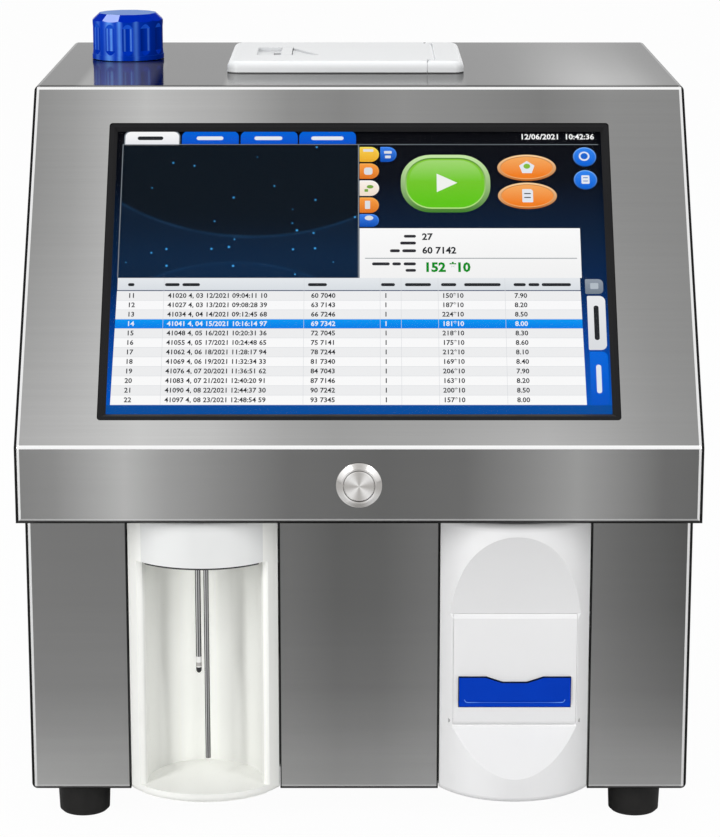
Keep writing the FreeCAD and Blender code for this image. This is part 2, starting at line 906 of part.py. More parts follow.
def facet_tool(shift):
    """What is carved off the bulge: a scoop on top, a flat for the door and a slope under it."""
    reach = column_bulge + 4
    lower = (door_low - facet_bottom) / (column_bulge - door_face)
    foot = facet_bottom - (reach - column_bulge) * lower
    places = [(recess_face, door_high), (door_face, door_ledge), (door_face, door_low), (reach, foot),
              (2 * reach, foot), (2 * reach, facet_top), (column_bulge, facet_top)]
    x = column_x - column_half - 1
    corners = [V(x, proud(out - shift), height) for out, height in places]
    rise = facet_top - door_high
    belly = (column_bulge - recess_face) / 2 - scoop_sag
    halfway = V(x, proud(recess_face + belly - shift), door_high + rise / 2)
    edges = [Part.makeLine(here, there) for here, there in zip(corners, corners[1:])]
    edges.append(Part.Arc(corners[-1], halfway, corners[0]).toShape())
    return Part.Face(Part.Wire(edges)).extrude(V(2 * column_half + 2, 0, 0))


def printer_hinge():
    """Depth and height of the line on which the door turns."""
    return proud(door_face - hinge_knuckle), door_low + door_gap + hinge_knuckle


def printer_housing():
    """Moulded white printer column: carved front skin, door opening, back plate and paper bucket."""
    x = column_x
    skin = softened_column(1).cut(facet_tool(0))
    hollow = column(1, column_wall, column_low + column_wall, column_high - column_wall,
                    column_skirt - bucket_wall).cut(facet_tool(column_wall))
    shell = skin.cut(hollow)
    outer = block(x - bucket_half - bucket_wall, x + bucket_half + bucket_wall,
                  base_y + column_skirt - bucket_wall,
                  base_y + bucket_depth, bucket_low - bucket_wall, bucket_high + bucket_wall)
    inner = block(x - bucket_half, x + bucket_half, base_y - column_bulge,
                  base_y + bucket_depth - bucket_wall,
                  bucket_low, bucket_high)
    hinge_y, hinge_z = printer_hinge()
    lugs = []
    for side in (-1, 1):
        x0 = x + side * (door_half + door_seam)
        x1 = x + side * (column_half - column_wall / 2)
        lug = block(min(x0, x1), max(x0, x1), hinge_y - hinge_knuckle, base_y + column_skirt - bucket_wall,
                    hinge_z - hinge_knuckle, hinge_z + 2 * hinge_knuckle)
        lugs.append(lug.common(skin))
    body = join([shell, outer] + lugs)
    reach = door_half + door_seam
    opening = block(x - reach, x + reach, base_y - column_bulge,
                    base_y + column_skirt - bucket_wall - fit_gap,
                    door_low, door_high)
    pin_hole = rod(hinge_pin_radius + fit_gap, (x - door_half - 2, hinge_y, hinge_z),
                   (x + door_half + 2, hinge_y, hinge_z))
    head_back = thermal_head_depth()[1]
    notch = block(x - head_bar_half, x + head_bar_half, base_y - 1, head_back, head_bar_low, head_bar_high)
    return body.cut([inner, opening, pin_hole, notch])


def thermal_head_depth():
    front = base_y + roller_depth + roller_radius + seat_gap
    return front, front + head_bar_depth


def thermal_head():
    """Heat sink bar with the print line facing the roller."""
    x = column_x
    y0, y1 = thermal_head_depth()
    bar = block(x - head_bar_half, x + head_bar_half, y0, y1, head_bar_low, head_bar_high)
    grooves = []
    for index in range(5):
        z = head_bar_low + 3.0 + index * 1.9
        grooves.append(block(x - head_bar_half - 1, x + head_bar_half + 1, y1 - 3.0, y1 + 1, z, z + 0.9))
    grooves = [groove for groove in grooves if groove.BoundBox.ZMax < bucket_high - 0.5]
    return bar.cut(grooves)


def lever_outline(grow):
    """Front outline of the blue lever, with the finger dip in its top edge."""
    x, low, high = lever_half + grow, lever_low - grow, lever_high + grow
    dip = high - lever_dip
    return [(-x, low), (x, low), (x, high), (lever_dip_top - grow, high), (lever_dip_low - grow, dip),
            (grow - lever_dip_low, dip), (grow - lever_dip_top, high), (-x, high)]


def printer_door():
    """Paper door: flat panel with a ledge on top, a lever pocket, and cheeks that carry the roller."""
    x = column_x
    hinge_y, hinge_z = printer_hinge()
    low = hinge_z
    top = door_high - door_seam
    face = proud(door_face)
    ledge_slope = (door_face - recess_face) / (door_high - door_ledge)
    outline = [(face, low), (face, door_ledge), (proud(door_face - ledge_slope * (top - door_ledge)), top),
               (proud(door_face - door_wall), top), (proud(door_face - door_wall), lever_high + 4),
               (proud(door_face - door_block), lever_high + 1.5),
               (proud(door_face - door_block), lever_low - 1.5),
               (proud(door_face - door_wall), lever_low - 4), (proud(door_face - door_wall), low)]
    panel = side_prism(outline, x - door_half, x + door_half)
    knuckle = rod(hinge_knuckle, (x - door_half, hinge_y, hinge_z), (x + door_half, hinge_y, hinge_z))
    cheeks = []
    for side in (-1, 1):
        x0 = x + side * (roller_half + door_gap)
        x1 = x0 + side * door_cheek
        cheek = side_prism([(proud(door_face - door_wall / 2), roller_height - 16),
                            (proud(door_face - door_wall / 2), roller_height + 3.4),
                            (base_y + roller_depth + 3.0, roller_height + 3.0),
                            (base_y + roller_depth + 3.0, roller_height - 3.0)], min(x0, x1), max(x0, x1))
        cheeks.append(cheek)
    body = join([panel, knuckle] + cheeks)
    pocket = prism([(x + px, face - 1, pz) for px, pz in lever_outline(lever_gap)], (0, lever_root + 1, 0))
    axis_y, axis_z = lever_axis()
    pin_holes = rod(lever_pin_radius + run_gap,
                    (x - lever_half - lever_pin_length - run_gap, axis_y, axis_z),
                    (x + lever_half + lever_pin_length + run_gap, axis_y, axis_z))
    hinge_bore = rod(hinge_pin_radius + run_gap, (x - door_half - 1, hinge_y, hinge_z),
                     (x + door_half + 1, hinge_y, hinge_z))
    roller_bore = rod(roller_pin_radius + run_gap, (x - door_half, base_y + roller_depth, roller_height),
                      (x + door_half, base_y + roller_depth, roller_height))
    return body.cut([pocket, pin_holes, hinge_bore, roller_bore])


def lever_axis():
    return proud(door_face - lever_axis_depth), lever_low + lever_axis_lift


def printer_latch():
    """Blue lever: a plate with a finger dip, a sloping lower lip and a root with two small pins."""
    x = column_x
    axis_y, axis_z = lever_axis()
    front = proud(door_face + lever_proud)
    plate = prism([(x + px, front, pz) for px, pz in lever_outline(0)], (0, lever_plate, 0))
    lip = side_prism([(front - 1, lever_low - 1), (front - 1, lever_low + 3.2), (front, lever_low + 3.2),
                      (proud(door_face + 0.2), lever_low), (proud(door_face + 0.2), lever_low - 1)],
                     x - lever_half - 1, x + lever_half + 1)
    plate = plate.cut(lip)
    root_back = proud(door_face - lever_root + 1.4)
    root = side_prism([(front + lever_plate - 0.5, lever_low), (root_back - 1.5, lever_low),
                       (root_back, lever_low + 1.5), (root_back, lever_low + 3.5),
                       (front + lever_plate - 0.5, lever_low + 6.0)], x - lever_half, x + lever_half)
    reach = lever_half + lever_pin_length
    pins = rod(lever_pin_radius, (x - reach, axis_y, axis_z), (x + reach, axis_y, axis_z))
    return join([plate, root, pins])


def printer_hinge_pin():
    hinge_y, hinge_z = printer_hinge()
    reach = door_half + 1.8
    return rod(hinge_pin_radius, (column_x - reach, hinge_y, hinge_z), (column_x + reach, hinge_y, hinge_z))


def platen_roller():
    """Rubber-covered roller with a pin at each end."""
    y, z = base_y + roller_depth, roller_height
    body = rod(roller_radius, (column_x - roller_half, y, z), (column_x + roller_half, y, z))
    left = roller_half + door_gap + door_cheek + 0.4
    right = left + gear_width
    pin = rod(roller_pin_radius, (column_x - left, y, z), (column_x + right, y, z))
    return join([body, pin])


def platen_gear():
    """Small spur gear on the right end of the roller."""
    y, z = base_y + roller_depth, roller_height
    x0 = column_x + roller_half + door_gap + door_cheek + 0.4
    points = []
    for tooth in range(gear_teeth):
        for part, radius in ((0.0, gear_root_radius), (0.3, gear_tip_radius), (0.6, gear_tip_radius),
                             (0.9, gear_root_radius)):
            turn = 2 * math.pi * (tooth + part) / gear_teeth
            points.append((x0, y + radius * math.cos(turn), z + radius * math.sin(turn)))
    gear = prism(points, (gear_width, 0, 0))
    return gear.cut(rod(roller_pin_radius, (x0 - 1, y, z), (x0 + gear_width + 1, y, z)))


def printer_motor():
    x = column_x + bucket_half + bucket_wall
    y = base_y + bucket_depth / 2
    z = (bucket_low + bucket_high) / 2
    body = rod(printer_motor_radius, (x, y, z), (x + printer_motor_length, y, z))
    ear = block(x, x + 1, y - printer_motor_radius - 5, y + printer_motor_radius + 5, z - 4, z + 4)
    return join([body, ear])


# Filler cap and rinse tank

def cap_place():
    return cap_x, front_y + cap_depth


def cap_flute(turn, low, high):
    """Shallow grip hollow with round ends, at one place round the cap."""
    x, y = cap_place()
    side = cap_radius - cap_step
    radius = ((cap_flute_width / 2) ** 2 + cap_flute_depth ** 2) / (2 * cap_flute_depth)
    reach = side + radius - cap_flute_depth
    fx, fy = x + reach * math.cos(turn), y + reach * math.sin(turn)
    bar = rod(radius, (fx, fy, low + cap_flute_width / 3), (fx, fy, high - cap_flute_width / 3))
    slope_of_end = cap_flute_width / 3
    ends = []
    for z, way in ((low + slope_of_end, -1), (high - slope_of_end, 1)):
        ends.append(Part.makeCone(radius, radius - cap_flute_depth, slope_of_end, V(fx, fy, z), V(0, 0, way)))
    return join([bar] + ends)


def filler_cap():
    """Screw cap with a base ring, grip hollows, a top bevel in flat faces and a smooth bore."""
    x, y = cap_place()
    low = top_z + seat_gap
    ring = rod(cap_radius, (x, y, low), (x, y, low + cap_ring))
    side = rod(cap_radius - cap_step, (x, y, low + cap_ring - 0.5), (x, y, low + cap_height))
    turns = [math.radians(cap_turned) + 2 * math.pi * index / cap_flutes for index in range(cap_flutes)]
    spread = cap_height / cap_chamfer * (cap_radius - cap_step - cap_top_radius)
    rings = []
    for level, apothem in ((low, cap_top_radius + spread), (low + cap_height, cap_top_radius)):
        reach = apothem / math.cos(math.pi / cap_flutes)
        corners = [V(x + reach * math.cos(turn), y + reach * math.sin(turn), level) for turn in turns]
        rings.append(Part.makePolygon(corners + [corners[0]]))
    bevelled = side.common(Part.makeLoft(rings, True, True))
    half_pitch = math.pi / cap_flutes
    flutes = [cap_flute(turn + half_pitch, low + cap_ring + 0.3, low + cap_height - cap_chamfer - cap_rim)
              for turn in turns]
    body = join([bevelled.cut(flutes), ring])
    bore_top = top_z + neck_rise + liner_thick + 2 * seat_gap
    bore = rod(neck_radius + neck_gap, (x, y, low - 1), (x, y, bore_top))
    return body.cut(bore)


def cap_liner():
    x, y = cap_place()
    low = top_z + neck_rise + seat_gap
    return rod(neck_radius, (x, y, low), (x, y, low + liner_thick))


def rinse_tank():
    """Blow-moulded tank with a collar and a neck that stands through the top."""
    x, y = cap_place()
    high = top_z - tank_drop
    outer = rounded_block(x - tank_half_x, x + tank_half_x, y - tank_half_y, y + tank_half_y, deck_top,
                          high,
                          tank_corner)
    outer = outer.makeFillet(tank_corner - 2,
                             [edge for edge in outer.Edges if middle(edge).z > high - 0.01])
    wall = tank_wall
    inner = rounded_block(x - tank_half_x + wall, x + tank_half_x - wall, y - tank_half_y + wall,
                          y + tank_half_y - wall, deck_top + wall, high - wall, tank_corner - wall)
    collar_top = roof_z - gasket_thick
    collar = rod(collar_radius, (x, y, collar_top - collar_thick), (x, y, collar_top))
    neck = rod(neck_radius, (x, y, high - wall / 2), (x, y, top_z + neck_rise))
    bore = rod(neck_radius - neck_wall, (x, y, high - 2 * wall), (x, y, top_z + neck_rise + 1))
    return join([outer, collar, neck]).cut([inner, bore])


def neck_gasket():
    x, y = cap_place()
    ring = rod(collar_radius - 1, (x, y, roof_z - gasket_thick), (x, y, roof_z))
    return ring.cut(rod(neck_radius + fit_gap, (x, y, roof_z - gasket_thick - 1), (x, y, roof_z + 1)))


# Lid and chip bay

def lid_slab():
    """The whole low white cover, before it is parted into lid and hinge block."""
    slab = rounded_block(lid_left, lid_right, front_y + lid_front, front_y + lid_back, lid_low, lid_high,
                         lid_corner)
    return slab.makeFillet(lid_round, [edge for edge in slab.Edges if middle(edge).z > lid_high - 0.01])


def chip_lid():
    """Thin-walled lid with a round hinge edge, a latch slot and a finger scoop."""
    slab = lid_slab()
    y0, y1 = front_y + lid_front, front_y + lid_back
    keep = block(lid_left - 1, lid_hinge_x, y0 - 1, y1 + 1, lid_low - 1, lid_high + 1)
    lid = slab.common(keep)
    ear_x = lid_hinge_x - lid_knuckle - seat_gap
    lid = lid.cut([block(ear_x, lid_right, y0 - 1, y0 + lid_ear, lid_low - 1, lid_high + 1),
                   block(ear_x, lid_right, y1 - lid_ear, y1 + 1, lid_low - 1, lid_high + 1)])
    knuckle = rod(lid_knuckle, (lid_hinge_x, y0 + lid_ear, lid_axis_z),
                  (lid_hinge_x, y1 - lid_ear, lid_axis_z))
    hollow = block(lid_left + lid_wall + 2, lid_hinge_x - 2 * lid_knuckle, y0 + lid_wall + 2,
                   y1 - lid_wall - 2,
                   lid_low - 1, lid_high - 2 * lid_wall)
    lid = join([lid.cut(hollow), knuckle])
    centre = (y0 + y1) / 2
    half_slot = latch_half + latch_gap
    slot = block(latch_left, latch_left + latch_slot, centre - half_slot, centre + half_slot,
                 lid_high - lid_wall, lid_high + 1)
    deep = block(latch_left + latch_slot - latch_key - latch_travel - latch_gap, latch_left + latch_slot,
                 centre - latch_half / 2, centre + latch_half / 2, lid_low - 1, lid_high)
    scoop = plan_prism([(latch_left + latch_slot - 1, centre - half_slot),
                        (latch_left + latch_slot - 1, centre + half_slot),
                        (latch_left + latch_slot + scoop_length, centre - half_slot)],
                        lid_high - lid_wall / 2, lid_high + 1)
    bore = rod(lid_pin_radius + run_gap, (lid_hinge_x, y0, lid_axis_z), (lid_hinge_x, y1, lid_axis_z))
    return lid.cut([slot, deep, scoop, bore])


def lid_hinge_block():
    """Fixed end of the cover, with two ears that hold the hinge pin."""
    slab = lid_slab()
    y0, y1 = front_y + lid_front, front_y + lid_back
    x0 = lid_hinge_x + lid_knuckle + seat_gap
    body = slab.common(block(x0, lid_right + 1, y0 - 1, y1 + 1, lid_low - 1, lid_high + 1))
    ears = []
    for ear_y0, ear_y1 in ((y0, y0 + lid_ear - seat_gap), (y1 - lid_ear + seat_gap, y1)):
        ears += [slab.common(block(lid_hinge_x, x0, ear_y0, ear_y1, lid_low, lid_high + 1)),
                 slab.common(block(lid_hinge_x - lid_knuckle, x0, ear_y0, ear_y1, lid_low, lid_axis_z)),
                 slab.common(rod(lid_knuckle, (lid_hinge_x, ear_y0, lid_axis_z),
                                 (lid_hinge_x, ear_y1, lid_axis_z)))]
    foot_pad = block(x0 + 2, lid_right - 2, y0 + 4, y1 - 4, top_z, lid_low)
    body = join([body, foot_pad] + ears)
    bore = rod(lid_pin_radius + fit_gap, (lid_hinge_x, y0 + 2, lid_axis_z),
               (lid_hinge_x, y1 - 2, lid_axis_z))
    return body.cut(bore)


def lid_hinge_pin():
    y0, y1 = front_y + lid_front + 2, front_y + lid_back - 2
    return rod(lid_pin_radius, (lid_hinge_x, y0, lid_axis_z), (lid_hinge_x, y1, lid_axis_z))


def lid_latch():
    """Sliding key in the lid, with a tongue under it."""
    centre = front_y + (lid_front + lid_back) / 2
    x1 = latch_left + latch_slot - latch_gap
    x0 = x1 - latch_key
    key = block(x0, x1, centre - latch_half, centre + latch_half, lid_high - lid_wall + latch_gap, lid_high)
    stem_half = latch_half / 2 - latch_gap
    stem = block(x0 + 0.5, x1 - 0.5, centre - stem_half, centre + stem_half, roof_z - 1, lid_high - 0.5)
    tongue_top = roof_z - seat_gap
    tongue = block(opening_left + latch_gap, x1 - 0.5, centre - stem_half, centre + stem_half,
                   tongue_top - tongue_thick, tongue_top)
    return join([key, stem, tongue])


def basin_box(grow, low, high):
    reach = basin_lap + grow
    return block(opening_left - reach, opening_right + reach, front_y + opening_front - reach,
                 front_y + opening_back + reach, low, high)


def basin_floor():
    return roof_z - basin_depth


def lens_y():
    return front_y + (opening_front + opening_back) / 2


def chip_bay_frame():
    """Moulded basin hung under the top, open upwards, with a hole for the lens."""
    outer = basin_box(basin_wall, basin_floor(), roof_z)
    inner = basin_box(0, basin_floor() + basin_wall, roof_z + 1)
    lens_hole = rod(lens_radius - 2, (lens_x, lens_y(), basin_floor() - 1),
                    (lens_x, lens_y(), basin_floor() + 5))
    right = opening_right + basin_lap
    screw_hole = rod(screw_radius + seat_gap, (right - 1, lens_y() + screw_side, stage_z),
                     (right + basin_wall + 1, lens_y() + screw_side, stage_z))
    return outer.cut([inner, lens_hole, screw_hole])


def stage_rails():
    x0, x1 = opening_left - basin_lap, opening_right + basin_lap
    rails = [rod(rail_radius, (x0, lens_y() + side * rail_side, stage_z),
                 (x1, lens_y() + side * rail_side, stage_z))
             for side in (-1, 1)]
    return Part.makeCompound(rails)


def chip_carriage():
    """Sliding tray with a chip seat and a window over the lens."""
    y = lens_y()
    x0, x1 = carriage_x, carriage_x + carriage_length
    top = stage_z + carriage_thick / 2
    body = block(x0, x1, y - carriage_half_y, y + carriage_half_y, stage_z - carriage_thick / 2, top)
    centre = (x0 + x1) / 2
    seat = block(centre - chip_width / 2, centre + chip_width / 2, y - chip_length / 2, y + chip_length / 2,
                 top - chip_recess, top + 1)
    window = block(centre - chip_width / 4, centre + chip_width / 4, y - 12, y + 12,
                   stage_z - carriage_thick, top)
    bores = [rod(rail_radius + run_gap, (x0 - 1, y + side * rail_side, stage_z),
                 (x1 + 1, y + side * rail_side, stage_z))
             for side in (-1, 1)]
    thread = rod(screw_radius + run_gap, (x0 - 1, y + screw_side, stage_z),
                 (x1 + 1, y + screw_side, stage_z))
    return body.cut([seat, window, thread] + bores)


def motor_chamber():
    """Left and right end of the hollow in the stage motor."""
    face = opening_right + basin_lap + basin_wall
    return face + stage_motor_plate, face + stage_motor_length - stage_motor_plate


def lead_screw():
    """Screw that is also the motor's shaft, with the rotor pressed on it."""
    x0, x1 = motor_chamber()
    y, z = lens_y() + screw_side, stage_z
    screw = rod(screw_radius, (opening_left - basin_lap + 1, y, z), (x1 + 1, y, z))
    rotor = rod(stage_motor_size / 2 - rotor_wall, (x0 + rotor_gap, y, z), (x1 - rotor_gap, y, z))
    return join([screw, rotor])


def stage_motor():
    """Square motor body, hollow for the rotor, with a bore for the shaft at both ends."""
    x0, x1 = motor_chamber()
    reach = stage_motor_size / 2
    y, z = lens_y() + screw_side, stage_z
    high = min(z + reach, roof_z - 1)
    body = block(x0 - stage_motor_plate, x1 + stage_motor_plate, y - reach, y + reach, z - reach, high)
    chamber = rod(reach - rotor_wall + rotor_gap, (x0, y, z), (x1, y, z))
    bore = rod(screw_radius + run_gap, (x0 - stage_motor_plate - 1, y, z), (x1 + 1 + seat_gap, y, z))
    return body.cut([chamber, bore])


def objective_lens():
    """Stepped lens barrel that screws against the basin floor."""
    low = basin_floor() - lens_length
    outline = [(0, 0), (lens_radius - 3, 0), (lens_radius - 3, 6), (lens_radius, 8),
               (lens_radius, lens_length),
               (3, lens_length), (3, lens_length - 3), (0, lens_length - 3)]
    return turned(outline, (lens_x, lens_y(), low), (0, 0, 1))


def optic_block():
    """Camera body under the lens, with its lamp and a back arm up to the basin."""
    y = lens_y()
    top = basin_floor() - lens_length
    body = block(lens_x - optic_half, lens_x + optic_half, y - optic_half, y + optic_back,
                 top - optic_height, top)
    arm = block(lens_x - optic_half, lens_x + optic_half, y + optic_back - 8, y + optic_back, top - 1,
                basin_floor())
    return join([body, arm, led_lamp()])


def led_lamp():
    """Finned lamp housing on the side of the camera body."""
    x0 = lens_x + optic_half
    z = basin_floor() - lens_length - optic_height / 2
    body = rod(lamp_radius, (x0, lens_y(), z), (x0 + lamp_length, lens_y(), z))
    fins = []
    for index in range(4):
        x = x0 + lamp_length - 3 - index * 3.5
        ring = rod(lamp_radius + 1, (x, lens_y(), z), (x + 1.6, lens_y(), z))
        fins.append(ring.cut(rod(lamp_radius - 2, (x - 1, lens_y(), z), (x + 3, lens_y(), z))))
    return body.cut(fins)


# Inside the cabinet

def main_board_corners():
    y0 = front_y + main_board_front
    xs = (main_board_x + 5, main_board_x + main_board_width - 5)
    return [(x, y) for x in xs for y in (y0 + 5, y0 + main_board_depth - 5)]


def deck_plate():
    """Folded deck between the side walls, with pressed posts for the main board."""
    y0, y1 = front_y + deck_front, panel_y - deck_rear_gap
    plate = block(-floor_half, floor_half, y0, y1, deck_z, deck_top)
    flanges = [block(-floor_half, sheet - floor_half, y0, y1, deck_z - deck_flange, deck_z),
               block(floor_half - sheet, floor_half, y0, y1, deck_z - deck_flange, deck_z)]
    posts = [rod(standoff_radius, (x, y, deck_top), (x, y, deck_top + standoff_height)) for x,
             y in main_board_corners()]
    return join([plate] + flanges + posts)


def on_board(share_x, share_y, width, length, height):
    """A block on the main board. The shares say where its centre lies on the board."""
    x = main_board_x + share_x * main_board_width
    y = front_y + main_board_front + share_y * main_board_depth
    low = deck_top + standoff_height + board_thick
    return block(x - width / 2, x + width / 2, y - length / 2, y + length / 2, low, low + height)


def main_board():
    """Board with a shield can, a plug, a memory chip, a terminal strip and two capacitors."""
    x0, y0 = main_board_x, front_y + main_board_front
    low = deck_top + standoff_height
    top = low + board_thick
    board = block(x0, x0 + main_board_width, y0, y0 + main_board_depth, low, top)
    parts = [on_board(0.5, 0.49, shield_side, shield_side, shield_height),
             on_board(0.2, 0.16, plug_length, plug_width, plug_height),
             on_board(0.81, 0.32, memory_width, memory_length, memory_height),
             on_board(0.17, 0.71, terminal_width, terminal_length, terminal_height)]
    x = x0 + 0.8 * main_board_width
    for y in (y0 + 0.75 * main_board_depth - capacitor_pitch / 2,
              y0 + 0.75 * main_board_depth + capacitor_pitch / 2):
        parts.append(rod(capacitor_radius, (x, y, top), (x, y, top + capacitor_height)))
    return join([board] + parts)


def power_supply():
    """Caged supply on the floor, with slots in its cover."""
    y1 = rear_y - supply_rear
    y0 = y1 - supply_depth
    body = block(supply_x, supply_x + supply_width, y0, y1, floor_z, floor_z + supply_height)
    slots = []
    for index in range(7):
        y = y0 + 18 + index * 10
        slots.append(block(supply_x + 12, supply_x + supply_width - 12, y, y + 3,
                           floor_z + supply_height - 2,
                           floor_z + supply_height + 1))
    return body.cut(slots)


def pump_y():
    return base_y + pump_depth


def pump_body():
    """Pump head: a round track open to the front, on a foot that stands on the floor."""
    x, y, z = -column_x, pump_y(), floor_z + pump_axis_z - base_z
    housing = rod(pump_radius, (x, y, z), (x, y + pump_thick, z))
    leg = block(x - 14, x + 14, y, y + pump_thick, floor_z, z)
    sole = block(x - 26, x + 26, y - 4, y + pump_thick + 4, floor_z, floor_z + 4)
    track = rod(pump_radius - pump_wall, (x, y - 1, z), (x, y + pump_thick - 5, z))
    shaft = rod(pump_shaft_radius + run_gap, (x, y, z), (x, y + pump_thick + 1, z))
    return join([housing, leg, sole]).cut([track, shaft])


def pump_rotor():
    """Rotor with three rollers between two round plates, on the motor shaft."""
    x, y, z = -column_x, pump_y(), floor_z + pump_axis_z - base_z
    orbit = pump_radius - pump_wall - pump_roller_radius - 4.0
    y0, y1 = y + 1, y + pump_thick - 6
    plates = [rod(orbit + 2, (x, y0, z), (x, y0 + 2.5, z)), rod(orbit + 2, (x, y1 - 2.5, z), (x, y1, z))]
    shaft = rod(pump_shaft_radius, (x, y0, z), (x, y + pump_thick, z))
    rollers = []
    for index in range(roller_count):
        turn = 2 * math.pi * index / roller_count
        rx, rz = x + orbit * math.cos(turn), z + orbit * math.sin(turn)
        rollers.append(rod(pump_roller_radius, (rx, y0 + 2, rz), (rx, y1 - 2, rz)))
    return join(plates + [shaft] + rollers)


def pump_motor():
    x, y, z = -column_x, pump_y() + pump_thick, floor_z + pump_axis_z - base_z
    body = rod(pump_motor_radius, (x, y, z), (x, y + pump_motor_length, z))
    return body.cut(rod(pump_shaft_radius + run_gap, (x, y - 1, z), (x, y + 0.5, z)))


def cell_place():
    return cell_x, base_y + pump_depth - 5


def ultrasonic_cell():
    """Steel measuring block with a sound disc on each side and a port above and behind."""
    x, y = cell_place()
    body = block(x, x + cell_width, y, y + cell_depth, floor_z, floor_z + cell_height)
    cy, cz = y + cell_depth / 2, floor_z + cell_height * 0.6
    discs = [rod(10, (x - 3, cy, cz), (x + 0.5, cy, cz)),
             rod(10, (x + cell_width - 0.5, cy, cz), (x + cell_width + 3, cy, cz))]
    top = floor_z + cell_height
    ports = [rod(barb_radius, (x + cell_width / 2, cy, top - 1),
                 (x + cell_width / 2, cy, top + cell_port_height)),
             rod(barb_radius, (x + cell_width / 4, cy - 8, top - 1),
                 (x + cell_width / 4, cy - 8, top + cell_port_height))]
    return join([body] + discs + ports)


def milk_hose():
    """Hose from the manifold to the measuring cell."""
    x, y = cell_place()
    start_y = bay_axis_y + manifold_back + barb_length
    end_x, end_y = x + cell_width / 2, y + cell_depth / 2
    end_z = floor_z + cell_height + cell_port_height
    points = [(-column_x, start_y, barb_z()), (-column_x, start_y + 30, barb_z()),
              (end_x, end_y, barb_z() - 10),
              (end_x, end_y, end_z)]
    return bent_tube(points, hose_bend, hose_radius)


def waste_hose():
    """Hose from the measuring cell over to the pump head."""
    x, y = cell_place()
    start_x, start_y = x + cell_width / 4, y + cell_depth / 2 - 8
    low = floor_z + cell_height + cell_port_height
    pump_z = floor_z + pump_axis_z - base_z + pump_radius
    end_y = pump_y() + pump_thick / 2
    points = [(start_x, start_y, low), (start_x, start_y, pump_z + 14), (-column_x, end_y, pump_z + 20),
              (-column_x, end_y, pump_z)]
    return bent_tube(points, hose_bend * 0.75, hose_radius)


def fan_frame():
    y1 = panel_y
    y0 = y1 - fan_thick
    reach = fan_size / 2
    body = block(fan_x - reach, fan_x + reach, y0, y1, fan_z - reach, fan_z + reach)
    bore = rod(fan_bore_radius, (fan_x, y0 - 1, fan_z), (fan_x, y1 + 1, fan_z))
    spokes = [block(fan_x - fan_bore_radius - 0.5, fan_x + fan_bore_radius + 0.5, y0, y0 + 2, fan_z - 1.5,
                    fan_z + 1.5),
              block(fan_x - 1.5, fan_x + 1.5, y0, y0 + 2, fan_z - fan_bore_radius - 0.5,
                    fan_z + fan_bore_radius + 0.5)]
    seat = rod(fan_hub_radius, (fan_x, y0, fan_z), (fan_x, y0 + 2, fan_z))
    axle = rod(1.5, (fan_x, y0 + 1, fan_z), (fan_x, y1 - 3, fan_z))
    return join([body.cut(bore), seat, axle] + spokes)


def fan_impeller():
    """Hub with slanted blades on the frame's axle."""
    y0 = panel_y - fan_thick + 2 + fan_hub_gap
    y1 = panel_y - 2
    hub = rod(fan_hub_radius, (fan_x, y0, fan_z), (fan_x, y1, fan_z))
    blades = []
    for index in range(fan_blades):
        corners = [(fan_hub_radius - 2, y0 + 1, -1), (fan_hub_radius - 2, y0 + 2.4, -1),
                   (fan_hub_radius - 2, y1 - 0.5, 7), (fan_hub_radius - 2, y1 - 1.9, 7)]
        blade = prism(corners, (fan_blade_radius - fan_hub_radius + 1, 0, 0))
        blade.rotate(V(0, 0, 0), V(0, 1, 0), 360 / fan_blades * index)
        blade.translate(V(fan_x, 0, fan_z))
        blades.append(blade)
    bore = rod(1.5 + run_gap, (fan_x, y0 - 1, fan_z), (fan_x, y1 - 0.8, fan_z))
    return join([hub] + blades).cut(bore)


def power_inlet():
    """Mains inlet with a flange outside the panel and three pins in its socket."""
    w, h = inlet_width / 2, inlet_height / 2
    face = rear_y + inlet_flange_thick
    flange = rounded(block(inlet_x - w - inlet_flange, inlet_x + w + inlet_flange, rear_y, face,
                           inlet_z - h - inlet_flange, inlet_z + h + inlet_flange), 2,
                           lambda edge: along(edge, (0, 1, 0)))
    body = block(inlet_x - w, inlet_x + w, rear_y - inlet_depth, rear_y, inlet_z - h, inlet_z + h)
    sw, sh = inlet_socket_width / 2, inlet_socket_height / 2
    socket = prism([(inlet_x - sw, face + 1, inlet_z - sh), (inlet_x + sw, face + 1, inlet_z - sh),
                    (inlet_x + sw, face + 1, inlet_z + sh - 4), (inlet_x + sw - 4, face + 1, inlet_z + sh),
                    (inlet_x - sw + 4, face + 1, inlet_z + sh), (inlet_x - sw, face + 1, inlet_z + sh - 4)],
                   (0, -inlet_socket_depth - 1, 0))
    floor_y = face - inlet_socket_depth
    pins = [block(inlet_x + px - 1, inlet_x + px + 1, floor_y - 1, floor_y + 10, inlet_z + pz - 2,
                  inlet_z + pz + 2)
            for px, pz in ((-7, -2), (0, 2), (7, -2))]
    return join([join([flange, body]).cut(socket)] + pins)


def usb_ports():
    """Two metal sockets joined by the small board that carries them."""
    ports = []
    for side in (0, 1):
        x = usb_x + side * usb_pitch
        w, h = usb_width / 2, usb_height / 2
        can = block(x - w, x + w, rear_y - usb_depth, rear_y + usb_proud, usb_z - h, usb_z + h)
        hole = block(x - w + usb_shell, x + w - usb_shell, rear_y - usb_depth + 3, rear_y + usb_proud + 1,
                     usb_z - h + usb_shell, usb_z + h - usb_shell)
        tongue = block(x - w + 1.5, x + w - 1.5, rear_y - usb_depth + 2, rear_y - 2, usb_z + 0.6,
                       usb_z + 2.2)
        ports.append(join([can.cut(hole), tongue]))
    board = block(usb_x - usb_width, usb_x + usb_pitch + usb_width, panel_y - usb_depth - 4, panel_y,
                  usb_z - usb_height / 2 - board_thick, usb_z - usb_height / 2)
    return join(ports + [board])


